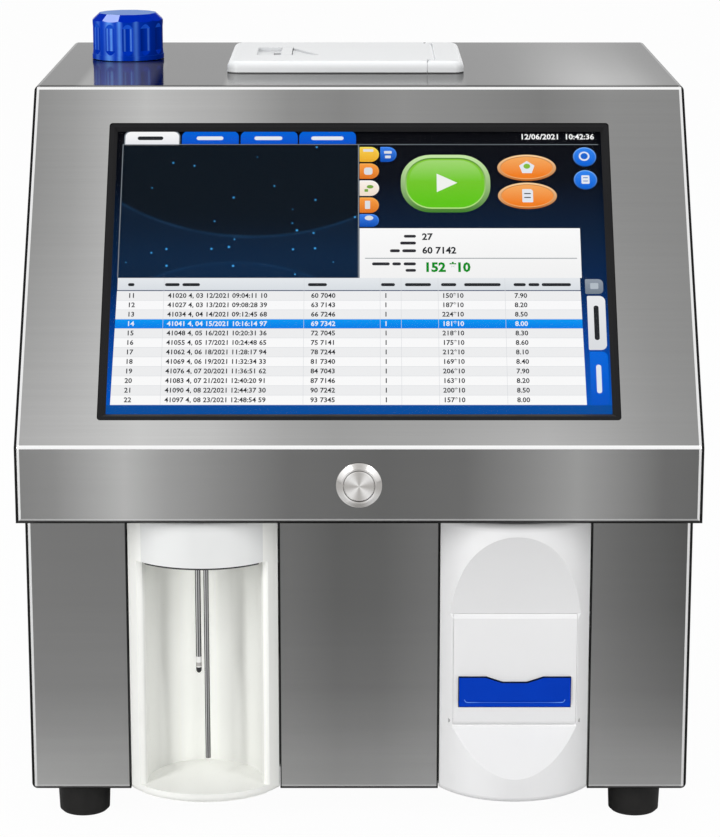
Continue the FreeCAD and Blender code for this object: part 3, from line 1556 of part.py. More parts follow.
def serial_port():
    """Nine-pin socket with its plate against the inside of the panel and a D-shaped shell outside."""
    x, z = serial_x + usb_pitch, serial_z
    plate = block(x - serial_plate_width / 2, x + serial_plate_width / 2, panel_y - 1, panel_y,
                  z - serial_plate_height / 2, z + serial_plate_height / 2)
    body = block(x - serial_width / 2 - 2, x + serial_width / 2 + 2, panel_y - serial_depth, panel_y - 1,
                 z - serial_height / 2 - 1, z + serial_height / 2 + 1)
    w, h = serial_width / 2, serial_height / 2
    shell = prism([(x - w + 1.5, panel_y - 1, z - h), (x + w - 1.5, panel_y - 1, z - h),
                   (x + w, panel_y - 1, z + h),
                   (x - w, panel_y - 1, z + h)], (0, rear_sheet + port_proud + 1, 0))
    hole = prism([(x - w + 2, panel_y, z - h + 0.6), (x + w - 2, panel_y, z - h + 0.6),
                  (x + w - 0.7, panel_y, z + h - 0.6), (x - w + 0.7, panel_y, z + h - 0.6)],
                 (0, rear_sheet + port_proud + 1, 0))
    pins = []
    for row, count in ((1.4, 5), (-1.4, 4)):
        for index in range(count):
            px = x + (index - (count - 1) / 2) * 2.7
            pins.append(block(px - 0.5, px + 0.5, panel_y - 0.5, rear_y + 3.5, z + row - 0.5,
                              z + row + 0.5))
    return join([join([plate, body, shell]).cut(hole)] + pins)


def build():
    nodes = {
        "head_shell": head_shell(), "base_shell": base_shell(), "rear_panel": rear_panel(),
        "rear_screws": rear_screws(), "foot_screws": foot_screws(),
        "display_bezel": display_bezel(), "touch_glass": touch_glass(), "display_panel": display_panel(),
        "display_bracket": display_bracket(), "display_board": display_board(),
        "button_housing": button_housing(), "button_cap": button_cap(), "button_nut": button_nut(),
        "sample_bay": sample_bay(), "bay_hood": bay_hood(), "sampling_tube": sampling_tube(),
        "temperature_probe": temperature_probe(), "probe_collar": probe_collar(), "probe_tip": probe_tip(),
        "tube_manifold": tube_manifold(), "hoses": Part.makeCompound([milk_hose(), waste_hose()]),
        "printer_housing": printer_housing(), "printer_door": printer_door(),
        "printer_latch": printer_latch(),
        "printer_hinge_pin": printer_hinge_pin(), "platen_roller": platen_roller(),
        "platen_gear": platen_gear(),
        "thermal_head": thermal_head(), "printer_motor": printer_motor(),
        "filler_cap": filler_cap(), "cap_liner": cap_liner(), "rinse_tank": rinse_tank(),
        "neck_gasket": neck_gasket(),
        "chip_lid": chip_lid(), "lid_hinge_block": lid_hinge_block(), "lid_hinge_pin": lid_hinge_pin(),
        "lid_latch": lid_latch(), "chip_bay_frame": chip_bay_frame(), "stage_rails": stage_rails(),
        "chip_carriage": chip_carriage(), "lead_screw": lead_screw(), "stage_motor": stage_motor(),
        "objective_lens": objective_lens(), "optic_block": optic_block(),
        "deck_plate": deck_plate(), "main_board": main_board(), "power_supply": power_supply(),
        "pump_body": pump_body(), "pump_rotor": pump_rotor(), "pump_motor": pump_motor(),
        "ultrasonic_cell": ultrasonic_cell(), "fan_frame": fan_frame(), "fan_impeller": fan_impeller(),
        "power_inlet": power_inlet(), "usb_ports": usb_ports(), "serial_port": serial_port(),
    }
    names = ("foot_front_left", "foot_front_right", "foot_rear_left", "foot_rear_right")
    for name, (x, y) in zip(names, foot_places()):
        nodes[name] = foot(x, y)
    return nodes


os.makedirs("parts", exist_ok=True)
for name, shape in build().items():
    shape.exportStep("parts/" + name + ".step")
    print(name, "solids", len(shape.Solids), "valid", shape.isValid(), "volume", round(shape.Volume, 1))
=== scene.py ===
import math

import bmesh
import bpy
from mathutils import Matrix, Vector


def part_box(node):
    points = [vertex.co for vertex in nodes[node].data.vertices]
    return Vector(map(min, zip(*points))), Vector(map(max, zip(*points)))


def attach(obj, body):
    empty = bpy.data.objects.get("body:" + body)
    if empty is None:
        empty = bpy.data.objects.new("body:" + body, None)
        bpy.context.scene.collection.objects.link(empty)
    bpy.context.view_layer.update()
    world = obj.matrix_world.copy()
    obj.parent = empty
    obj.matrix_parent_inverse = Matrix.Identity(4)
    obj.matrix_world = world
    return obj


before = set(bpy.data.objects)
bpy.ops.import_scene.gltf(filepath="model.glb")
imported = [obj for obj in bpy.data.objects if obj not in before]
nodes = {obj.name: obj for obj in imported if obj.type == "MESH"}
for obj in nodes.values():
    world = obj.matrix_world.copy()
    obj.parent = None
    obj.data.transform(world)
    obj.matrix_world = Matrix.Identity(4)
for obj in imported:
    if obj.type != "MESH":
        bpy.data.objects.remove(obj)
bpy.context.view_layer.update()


# The cabinet is folded from brushed stainless sheet: a hood with band, slope and top, a lower case
# with two cut-outs, and a flat rear panel. The grain runs level round every face, as the finishing
# belt leaves it. The room's light in the sheet is painted into its colour: painted reflections in tall
# soft bands, painted highlights and shade on the folds, and a faint painted glow on the top.

class Wire:
    """A socket of a finish that takes part in sums as a plain number would."""

    def __init__(self, tree, socket=None):
        self.tree = tree
        self.socket = socket

    def node(self, kind, settings=None, sockets=None):
        node = self.tree.nodes.new(kind)
        for name, value in (settings or {}).items():
            if name == "stops":
                ramp = node.color_ramp.elements
                ramp[0].position, ramp[0].color = value[0]
                ramp[1].position, ramp[1].color = value[-1]
                for position, colour in value[1:-1]:
                    ramp.new(position).color = colour
            else:
                setattr(node, name, value)
        for name, value in (sockets or {}).items():
            if isinstance(value, Wire):
                self.tree.links.new(value.socket, node.inputs[name])
            else:
                node.inputs[name].default_value = value
        return Wire(self.tree, node.outputs[0])

    def out(self, name):
        return Wire(self.tree, self.socket.node.outputs[name])

    def __add__(self, other):
        return self.node("ShaderNodeMath", {"operation": "ADD"}, {0: self, 1: other})

    def __sub__(self, other):
        return self.node("ShaderNodeMath", {"operation": "SUBTRACT"}, {0: self, 1: other})

    def __rsub__(self, other):
        return self.node("ShaderNodeMath", {"operation": "SUBTRACT"}, {0: other, 1: self})

    def __mul__(self, other):
        return self.node("ShaderNodeMath", {"operation": "MULTIPLY"}, {0: self, 1: other})

    def __truediv__(self, other):
        return self.node("ShaderNodeMath", {"operation": "DIVIDE"}, {0: self, 1: other})

    def __pow__(self, other):
        return self.node("ShaderNodeMath", {"operation": "POWER"}, {0: self, 1: other})

    def __lt__(self, other):
        return self.node("ShaderNodeMath", {"operation": "LESS_THAN"}, {0: self, 1: other})

    def __gt__(self, other):
        return self.node("ShaderNodeMath", {"operation": "GREATER_THAN"}, {0: self, 1: other})

    def __abs__(self):
        return self.node("ShaderNodeMath", {"operation": "ABSOLUTE"}, {0: self})

    __radd__ = __add__
    __rmul__ = __mul__


def new_finish(name, **steady):
    """A finish with one shader. The steady values are the same all over the surface."""
    finish = bpy.data.materials.new(name)
    finish.use_nodes = True
    shader = finish.node_tree.nodes["Principled BSDF"]
    for socket, value in steady.items():
        shader.inputs[socket.replace("_", " ")].default_value = value
    return finish, Wire(finish.node_tree)


def lay(finish, **varying):
    """Lead what changes over the surface to the shader's sockets."""
    shader = finish.node_tree.nodes["Principled BSDF"]
    for socket, wire in varying.items():
        finish.node_tree.links.new(wire.socket, shader.inputs[socket.replace("_", " ")])


def mixed(factor, low, high):
    """A colour between two, by a factor from 0 to 1."""
    return factor.node("ShaderNodeMix", {"data_type": "RGBA"}, {0: factor, 6: low, 7: high}).out(2)


def mottle(start, vector, scale, detail=3.0, roughness=0.55):
    """Soft irregular variation about 0.5."""
    return start.node("ShaderNodeTexNoise", None,
                      {"Vector": vector, "Scale": scale, "Detail": detail, "Roughness": roughness})


def raised(height, strength, distance):
    """A normal from small heights."""
    return height.node("ShaderNodeBump", None, {"Strength": strength, "Distance": distance, "Height": height})


def bell(wire, centre, width):
    """One at the centre, falling softly to nothing on both sides."""
    offset = (wire - centre) / width
    return wire.node("ShaderNodeMath", {"operation": "EXPONENT"}, {0: offset * offset * -1.0})


def place_of(start):
    """Where a point lies on the object, in metres, as a vector and as X, Y and Z."""
    place = start.node("ShaderNodeTexCoord").out("Object")
    parts = place.node("ShaderNodeSeparateXYZ", None, {0: place})
    return place, parts.out("X"), parts.out("Y"), parts.out("Z")


def facing_of(start, moving=False):
    """Which way a face looks, as X, Y and Z. A piece that moves tells it in its own frame."""
    source = start.node("ShaderNodeTexCoord" if moving else "ShaderNodeNewGeometry")
    parts = source.node("ShaderNodeSeparateXYZ", None, {0: source.out("Normal")})
    return parts.out("X"), parts.out("Y"), parts.out("Z")


def stepped(wire, low, high, stops):
    """A value that runs through stops, given as pairs of place and value between low and high."""
    share = wire.node("ShaderNodeMapRange", None, {0: wire, 1: low, 2: high})
    spots = [((place - low) / (high - low), (value, value, value, 1)) for place, value in stops]
    return share.node("ShaderNodeValToRGB", {"stops": spots}, {0: share})


def within(wire, low, high):
    """One where a value lies between two others, else nothing."""
    return (wire > low) * (wire < high)


# The heights at which the band and the slope start, the line along the front of the top, and how
# far the middle of each white column stands from the middle of the object, in metres.
band_foot, slope_foot, top_line, column_middle = 0.1431, 0.1771, -0.0342, 0.0682


def brushed_sheet(name, folded=True):
    """Brushed steel with painted reflections. The folded pieces have their own painted tones on the band, the
    slope and the top.
    """
    finish, start = new_finish(name, Metallic=1.0, Specular_Tint=(0.43, 0.43, 0.43, 1), Emission_Strength=1.0,
                               Emission_Color=(0, 0, 0, 1))
    place, x, y, z = place_of(start)
    lean, _, upward = facing_of(start)
    sideways = abs(lean)
    on_top = upward > 0.94
    side = sideways > 0.7
    run = x * (1.0 - side) + y * side
    across = z + y * (1.0 - side)
    fine_place = start.node("ShaderNodeCombineXYZ", None, {0: run * 22.0, 1: across * 3200.0, 2: side * 7.0})
    fine = mottle(start, fine_place, 1.0, 2.0)
    streak_place = start.node("ShaderNodeCombineXYZ", None, {0: run * 5.0, 1: across * 300.0, 2: side * 3.0})
    streak = mottle(start, streak_place, 1.0, 3.0)
    cloud = mottle(start, place, 7.0, 2.0)
    # Painted reflection: tall soft bands across the width where the lamps stand in the steel, for the band, the
    # sides and the rear panel.
    band = stepped(run, -0.15, 0.15, [
        (-0.15, 0.23), (-0.13, 0.285), (-0.1, 0.5), (-0.082, 0.365), (-0.058, 0.27), (-0.03, 0.175),
                                      (0.01, 0.145),
        (0.045, 0.165), (0.07, 0.26), (0.093, 0.365), (0.112, 0.27), (0.13, 0.17), (0.15, 0.15)])
    # Painted reflection on the lower case: lighter towards the floor, with its own soft bands across.
    low = stepped(z, 0.0, 0.145, [(0.0, 0.42), (0.018, 0.39), (0.03, 0.33), (0.045, 0.235), (0.062, 0.175),
                                  (0.1, 0.135), (0.145, 0.122)])
    low = low + stepped(run, -0.15, 0.15,
                        [(-0.15, 0.105), (-0.1, 0.1), (-0.03, 0.07), (-0.01, 0.03), (0.01, 0.035),
                                           (0.03, 0.075), (0.1, 0.09), (0.118, 0.05), (0.147, 0.0)]) - 0.03
    # Painted reflection on the slope: one set of bands at its foot, another higher up, blended by height.
    slope_low = stepped(run, -0.15, 0.15, [(-0.15, 0.4), (-0.128, 0.46), (-0.094, 0.58), (-0.064, 0.53),
                                           (-0.032, 0.39),
                                           (-0.01, 0.345), (0.032, 0.37), (0.08, 0.44), (0.1, 0.4),
                                           (0.128, 0.31), (0.15, 0.28)])
    slope_high = stepped(run, -0.15, 0.15,
                         [(-0.15, 0.26), (-0.128, 0.33), (-0.096, 0.5), (-0.06, 0.4), (-0.032, 0.27),
                                            (-0.008, 0.235), (0.02, 0.272), (0.05, 0.245), (0.082, 0.205),
                          (0.112, 0.26), (0.15, 0.24)])
    climb = stepped(z, 0.18, 0.315, [(0.18, 0.0), (0.22, 0.52), (0.255, 0.88), (0.28, 1.0), (0.315, 1.0)])
    # Painted reflection on the top: bands across, fading towards the back.
    top = stepped(run, -0.15, 0.15, [(-0.15, 0.24), (-0.088, 0.3), (-0.04, 0.28), (0.0, 0.25), (0.045, 0.26),
                                     (0.072, 0.36),
                                     (0.09, 0.56), (0.108, 0.8), (0.126, 0.8), (0.138, 0.42), (0.15, 0.28)])
    top = top * stepped(y, -0.04, 0.15,
                        [(-0.04, 1.05), (0.0, 0.95), (0.045, 0.72), (0.12, 0.42), (0.15, 0.4)])
    # Painted reflection: the sheet in front of the cap and the lid is lightened as if it took back some of their
    # light.
    painted_reflection = on_top * stepped(y, -0.04, 0.15, [(-0.04, 1.0), (0.048, 0.8), (0.062, 0.0), (0.15, 0.0)])
    painted_reflection = painted_reflection * stepped(x, -0.15, 0.15,
                              [(-0.15, 0.0), (-0.1285, 0.0), (-0.125, 0.9), (-0.112, 1.2), (-0.096, 0.8),
                                               (-0.0915, 0.0), (-0.0615, 0.0), (-0.06, 1.1), (-0.045, 0.9),
                                               (-0.01, 0.7), (0.046, 0.6), (0.0495, 0.0)])
    top = top + painted_reflection * 0.3
    if folded:
        tone = mixed(z > band_foot, low, mixed(z > slope_foot, band, mixed(climb, slope_low, slope_high)))
        tone = mixed(on_top, tone, top)
        tone = mixed(side, tone, band * 0.6 + 0.15)
    else:
        tone = band * 0.5 + 0.17
    tone = tone.node("ShaderNodeSeparateColor", None, {0: tone})
    tone = tone * (1.0 + (cloud - 0.5) * 0.1 + (streak - 0.5) * 0.08 + (fine - 0.5) * 0.07)
    # Painted highlights on the rounded folds and edges, by which way a face looks; painted shade on the far side
    # of each fold, on faces that look down, and in a dark strip along the front of the top.
    painted_highlight = within(sideways, 0.05, 0.44) * 0.8 + within(upward, 0.04, 0.6) + within(upward, 0.66, 0.77)
    painted_highlight = painted_highlight + within(upward, 0.6, 0.66) * (z > 0.3154)
    painted_highlight = painted_highlight + within(upward, -0.34, -0.03) * 0.35
    dark = within(sideways, 0.44, 0.985) + within(upward, 0.77, 0.985) * 0.8 + within(upward, -0.985,
                                                                                      -0.34) * 0.8
    dark = dark + (upward > 0.985) * (y < top_line) * 0.7
    # Painted shade in the seams of the lower case beside the white columns.
    if folded:
        beside = abs(abs(x) - column_middle)
        dark = dark + (z < 0.1428) * (y < -0.128) * (side * (beside < 0.04) + within(beside, 0.033, 0.0338))
    colour = start.node("ShaderNodeCombineColor", None, {0: tone, 1: tone, 2: tone * 0.99})
    colour = mixed(start.node("ShaderNodeMapRange", None, {0: painted_highlight}), colour, (0.93, 0.93, 0.93, 1))
    colour = mixed(start.node("ShaderNodeMapRange", None, {0: dark}), colour, (0.02, 0.02, 0.02, 1))
    rough = 0.14 + (streak - 0.5) * 0.08 + (fine - 0.5) * 0.06 - on_top * 0.05
    lay(finish, Base_Color=colour, Roughness=rough, Normal=raised(fine * 0.6 + streak * 0.4, 0.05, 0.00003))
    # Painted light: a pool on the right of the top and the painted reflection of the cap and the lid glow
    # faintly in the sheet.
    painted_light_pool = on_top * bell(x, 0.104, 0.024) * stepped(y, -0.04, 0.15, [(-0.04, 1.0), (0.0, 0.9), (0.15, 0.4)])
    if folded:
        lay(finish, Emission_Color=mixed(painted_light_pool + painted_reflection * 0.5, (0, 0, 0, 1), (0.12, 0.12, 0.12, 1)))
    return finish


def dress(finish, *names):
    for name in names:
        mesh = nodes[name].data
        if not mesh.materials:
            mesh.materials.append(finish)
        for index in range(len(mesh.materials)):
            mesh.materials[index] = finish


dress(brushed_sheet("brushed_sheet"), "head_shell", "base_shell")
dress(brushed_sheet("brushed_rear_sheet", False), "rear_panel")


# The four feet are moulded black rubber with a screw up the middle. The mould leaves them matt.

def moulded(name, colour, other, roughness, grain=900.0, depth=0.00002, cloud=60.0, **steady):
    """Moulded plastic or rubber: two close colours in soft clouds, over a fine even texture."""
    finish, start = new_finish(name, **steady)
    place = place_of(start)[0]
    soft = mottle(start, place, cloud, 3.0)
    fine = mottle(start, place, grain, 2.0)
    lay(finish, Base_Color=mixed(soft, colour, other),
        Roughness=roughness + (fine - 0.5) * 0.12 + (soft - 0.5) * 0.06,
        Normal=raised(fine, 0.25, depth))
    return finish


def turned_metal(name, colour, roughness, ridges=2500.0):
    """Plain turned or drawn metal with faint tool marks."""
    finish, start = new_finish(name, Metallic=1.0)
    place, x, y, z = place_of(start)
    marks_place = start.node("ShaderNodeCombineXYZ", None, {0: x * 200.0, 1: y * 200.0, 2: z * ridges})
    marks = mottle(start, marks_place, 1.0, 2.0)
    soft = mottle(start, place, 80.0, 2.0)
    shade = tuple(value * 0.78 for value in colour[:3]) + (1,)
    lay(finish, Base_Color=mixed(soft, shade, colour), Roughness=roughness + (marks - 0.5) * 0.15,
        Normal=raised(marks, 0.1, 0.00001))
    return finish


foot_rubber = moulded("foot_rubber", (0.008, 0.008, 0.008, 1), (0.02, 0.019, 0.018, 1), 0.62, cloud=140.0,
                      Specular_IOR_Level=0.2)
dress(foot_rubber, "foot_front_left", "foot_front_right", "foot_rear_left", "foot_rear_right")
screw_steel = turned_metal("screw_steel", (0.55, 0.55, 0.54, 1), 0.33)
dress(screw_steel, "foot_screws", "rear_screws", "button_nut", "printer_hinge_pin", "lid_hinge_pin",
      "stage_rails", "lead_screw")


# The display sits in the slope behind a black moulded frame with a bevel, and a clear touch glass
# with a hard even gloss covers it. Behind them the picture module is clamped in a folded tray.

dress(moulded("bezel_black", (0.006, 0.006, 0.007, 1), (0.011, 0.011, 0.012, 1), 0.4, cloud=30.0,
              Specular_IOR_Level=0.12), "display_bezel")

glass, start = new_finish("touch_glass", Base_Color=(0.01, 0.012, 0.014, 1), Specular_IOR_Level=0.3)
place = place_of(start)[0]
smear = mottle(start, place, 14.0, 4.0)
lay(glass, Alpha=0.028 + (smear - 0.5) * 0.01, Roughness=0.05 + (smear - 0.4) * 0.06)
dress(glass, "touch_glass")

tray_steel = turned_metal("plain_sheet", (0.5, 0.5, 0.5, 1), 0.42)
dress(tray_steel, "display_bracket", "deck_plate")
board_green = moulded("circuit_board", (0.01, 0.09, 0.035, 1), (0.02, 0.14, 0.06, 1), 0.4, grain=500.0,
                      cloud=300.0)
dress(board_green, "display_board", "main_board")
dress(moulded("picture_module", (0.004, 0.004, 0.006, 1), (0.01, 0.012, 0.016, 1), 0.3,
              Specular_IOR_Level=0.1),
      "display_panel")


# The picture is drawn in flat fields just behind the glass: a dark ground that turns blue towards the
# foot, tabs, a dark view with small lights, keys, a result card and a table of plain numbers.

crease_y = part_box("head_shell")[0][1]
crease_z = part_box("base_shell")[1][2] + 0.014
slope = Vector((0, 0.11501, 0.14002)).normalized()
outward = Vector((0, -slope.z, slope.y))
picture_depth = 0.00402
picture_step = 0.00005


def on_slope(x, y, level):
    """A point by millimetres right and up the slope from the crease, and layers of the picture."""
    start = Vector((x / 1000, crease_y, crease_z))
    return start + slope * (y / 1000) + outward * (level * picture_step - picture_depth)


def flat_piece(name, outlines, level, finish):
    """One flat field of the picture, made of closed outlines."""
    mesh = bpy.data.meshes.new(name)
    corners = []
    faces = []
    for outline in outlines:
        faces.append(list(range(len(corners), len(corners) + len(outline))))
        corners += [on_slope(x, y, level) for x, y in outline]
    mesh.from_pydata(corners, [], faces)
    mesh.materials.append(finish)
    piece = bpy.data.objects.new(name, mesh)
    bpy.context.collection.objects.link(piece)
    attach(piece, "cabinet")


def rounded(x0, x1, y0, y1, radii=(0, 0, 0, 0)):
    """A rectangle with its corners rounded, from the lower left one round to the upper left."""
    centres = [(x0, y0, 1, 1, 180), (x1, y0, -1, 1, 270), (x1, y1, -1, -1, 0), (x0, y1, 1, -1, 90)]
    outline = []
    for (x, y, sx, sy, turn), radius in zip(centres, radii):
        if radius == 0:
            outline.append((x, y))
            continue
        for step in range(9):
            angle = math.radians(turn + 90 * step / 8)
            outline.append((x + sx * radius + radius * math.cos(angle),
                            y + sy * radius + radius * math.sin(angle)))
    return outline


def oval(x, y, half_width, half_height):
    return [(x + half_width * math.cos(math.radians(a)), y + half_height * math.sin(math.radians(a)))
            for a in range(0, 360, 6)]


def height_on_slope(start):
    """Millimetres across the picture and up the slope, for what changes over the picture."""
    _, x, y, z = place_of(start)
    up = (y - crease_y) * (slope.y * 1000) + (z - crease_z) * (slope.z * 1000)
    return x * 1000.0, up


def screen_finish(name):
    """A field of the picture before its light is laid on: near black and without gloss."""
    return new_finish(name, Base_Color=(0.004, 0.004, 0.005, 1), Roughness=0.5, Specular_IOR_Level=0.0,
                      Emission_Strength=1.0)


def lit(name, colour, top=None, low=0.0, high=1.0):
    """A lit field, of one colour or running to another one at its top edge."""
    finish, start = screen_finish(name)
    up = height_on_slope(start)[1]
    grain = mottle(start, start.node("ShaderNodeTexCoord").out("Object"), 2500.0, 1.0)
    share = start.node("ShaderNodeMapRange", None, {0: up + (grain - 0.5) * 0.4, 1: low, 2: high})
    lay(finish, Emission_Color=mixed(share, colour, top or tuple(v * 0.93 for v in colour[:3]) + (1,)))
    return finish


ground, start = screen_finish("picture_ground")
up = height_on_slope(start)[1]
fade = start.node("ShaderNodeMapRange", None, {0: up, 1: 16.0, 2: 160.0})
ramp = start.node("ShaderNodeValToRGB", {"stops": [
    (0.0, (0.0, 0.105, 0.58, 1)), (0.22, (0.0, 0.06, 0.36, 1)), (0.45, (0.0, 0.017, 0.075, 1)),
    (0.62, (0.001, 0.012, 0.04, 1)), (0.82, (0.0005, 0.002, 0.006, 1)), (1.0, (0.0005, 0.0005, 0.001, 1))]},
                  {0: fade})
lay(ground, Emission_Color=ramp)
flat_piece("picture_ground", [rounded(-110.0, 110.4, 15.0, 161.6)], 0, ground)

# The dark view on the left: a few small lights and two faint arcs on navy, made up for this picture.
view, start = screen_finish("dark_view")
across, up = height_on_slope(start)
flat_place = start.node("ShaderNodeCombineXYZ", None, {0: across, 1: up, 2: 0.0})
cells = start.node("ShaderNodeTexVoronoi", {"voronoi_dimensions": "2D"},
                   {"Vector": flat_place, "Scale": 0.11})
pick = start.node("ShaderNodeSeparateColor", None, {0: cells.out("Color")})
near_foot = start.node("ShaderNodeMapRange", None, {0: up, 1: 150.0, 2: 90.0})
chosen = pick > 0.86 - near_foot * 0.25
size = 0.035 + pick.out("Green") * 0.05
star = start.node("ShaderNodeMapRange", None, {0: cells.out("Distance"), 1: size, 2: size * 0.25}) * chosen


def arc(centre_x, centre_y, radius, width):
    offset_x = across - centre_x
    offset_y = up - centre_y
    distance = (offset_x * offset_x + offset_y * offset_y) ** 0.5
    return bell(distance, radius, width), distance < radius


first, first_inside = arc(-47.0, 214.0, 109.0, 0.7)
second, second_inside = arc(-55.0, 6.0, 86.0, 0.6)
haze = bell(up, 92.0, 14.0) * 0.35 + (1.0 - first_inside) * 0.3 + second_inside * 0.2
sky = mixed(haze, (0.0008, 0.0045, 0.009, 1), (0.002, 0.022, 0.07, 1))
arc_lines = (first * 0.22 + second * 0.14) * mottle(start, flat_place, 0.08, 2.0)
sky = mixed(arc_lines, sky, (0.03, 0.16, 0.4, 1))
sky = mixed(star, sky, (0.06, 0.42, 0.95, 1))
lay(view, Emission_Color=sky)
flat_piece("picture_view", [rounded(-105.6, -0.5, 84.3, 152.0)], 2, view)

rule_grey = lit("rule_grey", (0.22, 0.25, 0.28, 1))
flat_piece("picture_rules", [rounded(-106.1, -105.7, 84.2, 152.4),
                             rounded(-0.5, 0.0, 84.2, 152.4),
                             rounded(-106.1, 107.3, 152.2, 152.55),
                             rounded(2.6, 95.9, 93.8, 94.15)], 6, rule_grey)

white_tab = lit("white_tab", (0.86, 0.87, 0.9, 1), (1.0, 1.0, 1.0, 1), 153.0, 159.0)
blue_tab = lit("blue_tab", (0.0, 0.085, 0.62, 1), (0.0, 0.13, 0.72, 1), 153.0, 159.5)
flat_piece("picture_tab_edge", [rounded(-105.5, -80.4, 152.6, 159.6, (0, 0, 3.0, 3.0))], 3, rule_grey)
flat_piece("picture_tab_front", [rounded(-105.0, -80.9, 152.2, 159.1, (0, 0, 2.6, 2.6))], 4, white_tab)
flat_piece("picture_tabs", [rounded(x0, x1, 152.7, 159.5, (0, 0, 3.0, 3.0))
                            for x0, x1 in ((-79.6, -54.1), (-53.2, -27.6), (-26.9, -1.4))], 4, blue_tab)


def bars(spans, y0, y1):
    """Rounded dashes that stand where a line of writing would be."""
    radius = (y1 - y0) / 2 - 0.01
    return [rounded(x0, x1, y0, y1, (radius,) * 4) for x0, x1 in spans]


ink = lit("picture_ink", (0.02, 0.022, 0.025, 1))
pale = lit("picture_pale", (0.86, 0.9, 0.97, 1))
flat_piece("picture_tab_mark", bars([(-99.5, -88.0)], 154.7, 156.6), 7, ink)
flat_piece("picture_tab_marks", bars([(-73.0, -61.0), (-47.0, -34.5), (-21.5, -7.0)], 154.7, 156.6), 7, pale)

# The half-round keys beside the dark view, each with a small plain sign.
key_shades = {"yellow": ((0.85, 0.42, 0.02, 1), (1.0, 0.66, 0.08, 1)),
              "orange": ((0.75, 0.17, 0.01, 1), (1.0, 0.36, 0.06, 1)),
              "cream": ((0.9, 0.75, 0.62, 1), (1.0, 0.93, 0.86, 1)),
              "blue": ((0.0, 0.07, 0.45, 1), (0.04, 0.22, 0.85, 1))}
keys = [("yellow", 0.2, 8.9, 143.4, 151.2), ("orange", 0.2, 8.9, 134.6, 142.6),
        ("cream", 0.2, 8.9, 125.8, 133.8),
        ("orange", 0.2, 8.8, 117.1, 125.0), ("blue", 0.2, 8.8, 110.0, 116.4),
        ("blue", 9.5, 16.8, 143.4, 151.2)]
for number, (shade, x0, x1, y0, y1) in enumerate(keys):
    radius = (y1 - y0) / 2 - 0.05
    dark, light = key_shades[shade]
    rim = tuple(min(1.0, value * 1.25 + 0.03) for value in light[:3]) + (1,)
    flat_piece("picture_key_rim_%d" % number, [rounded(x0, x1, y0, y1, (0.4, radius, radius, 0.4))], 3,
               lit("key_rim_%s_%d" % (shade, number), dark, rim, y0, y1))
    flat_piece("picture_key_%d" % number, [rounded(x0 + 0.1, x1 - 0.5, y0 + 0.5, y1 - 0.5,
                                                   (0.3, radius - 0.5, radius - 0.5, 0.3))],
               4, lit("key_%s_%d" % (shade, number), dark, light, y0, y1))
flat_piece("picture_key_signs", [rounded(1.8, 6.4, 148.6, 150.0, (0.3,) * 4),
                                 rounded(2.2, 6.0, 136.6, 140.4, (1.2,) * 4),
                                 rounded(11.2, 14.6, 147.6, 149.0, (0.3,) * 4),
                                 rounded(11.6, 14.2, 145.2, 146.6, (0.3,) * 4),
                                 rounded(2.6, 4.9, 119.0, 123.2, (0.3,) * 4), oval(4.4, 114.4, 1.9, 1.2)], 7,
           lit("sign_white", (0.8, 0.82, 0.85, 1)))
flat_piece("picture_leaf_sign", [oval(4.9, 130.4, 1.5, 0.9), rounded(2.4, 4.0, 127.8, 129.2, (0.2,) * 4)], 7,
           lit("sign_green", (0.2, 0.42, 0.05, 1)))

# The three big keys and the two round ones are drawn as glossy buttons with a rim.
flat_piece("picture_start_rim", [rounded(18.6, 58.5, 117.3, 147.1, (13.4,) * 4)], 3,
           lit("start_rim", (0.045, 0.2, 0.015, 1), (0.62, 0.86, 0.42, 1), 117.0, 147.5))
flat_piece("picture_start_groove", [rounded(20.6, 56.5, 119.2, 145.5, (11.8,) * 4)], 4,
           lit("start_groove", (0.5, 0.82, 0.25, 1), (0.1, 0.3, 0.03, 1), 119.0, 145.0))
flat_piece("picture_start_face", [rounded(21.2, 55.9, 119.8, 144.8, (11.2,) * 4)], 5,
           lit("start_face", (0.12, 0.58, 0.008, 1), (0.24, 0.6, 0.04, 1), 122.0, 144.0))
flat_piece("picture_start_sheen", [rounded(22.4, 54.7, 133.4, 144.2, (0.5, 0.5, 10.0, 10.0))], 6,
           lit("start_sheen", (0.17, 0.6, 0.02, 1), (0.38, 0.72, 0.18, 1), 133.0, 144.5))
flat_piece("picture_start_sign", [[(34.6, 127.6), (43.8, 132.4), (34.6, 137.2)]], 8,
           lit("start_sign", (0.98, 1.0, 0.96, 1)))
for number, y in enumerate((140.35, 125.85)):
    flat_piece("picture_oval_rim_%d" % number, [oval(74.9, y, 13.1, 6.8)], 3,
               lit("oval_rim_%d" % number, (0.5, 0.13, 0.01, 1), (1.0, 0.68, 0.36, 1), y - 6.8, y + 6.8))
    flat_piece("picture_oval_groove_%d" % number, [oval(74.9, y, 11.9, 5.9)], 4,
               lit("oval_groove_%d" % number, (0.95, 0.5, 0.2, 1), (0.5, 0.14, 0.01, 1), y - 5.9, y + 5.9))
    flat_piece("picture_oval_%d" % number, [oval(74.9, y, 11.5, 5.6)], 5,
               lit("oval_face_%d" % number, (0.92, 0.22, 0.015, 1), (0.95, 0.42, 0.12, 1), y - 4.0, y + 5.6))
flat_piece("picture_oval_signs", [[(75.0 + 3.6 * math.cos(math.radians(a)),
                                    140.3 + 3.5 * math.sin(math.radians(a)))
                                   for a in range(90, 450, 72)],
                                  rounded(72.6, 77.4, 122.4, 129.2, (0.4, 0.4, 1.4, 0.4))], 7, pale)
flat_piece("picture_oval_sign_green", [oval(75.0, 141.0, 1.5, 1.3)], 8,
           lit("sign_lime", (0.25, 0.55, 0.05, 1)))
flat_piece("picture_oval_sign_lines", bars([(73.4, 76.4)], 126.6, 127.1) + bars([(73.4, 76.4)], 124.6, 125.1),
           8, ink)
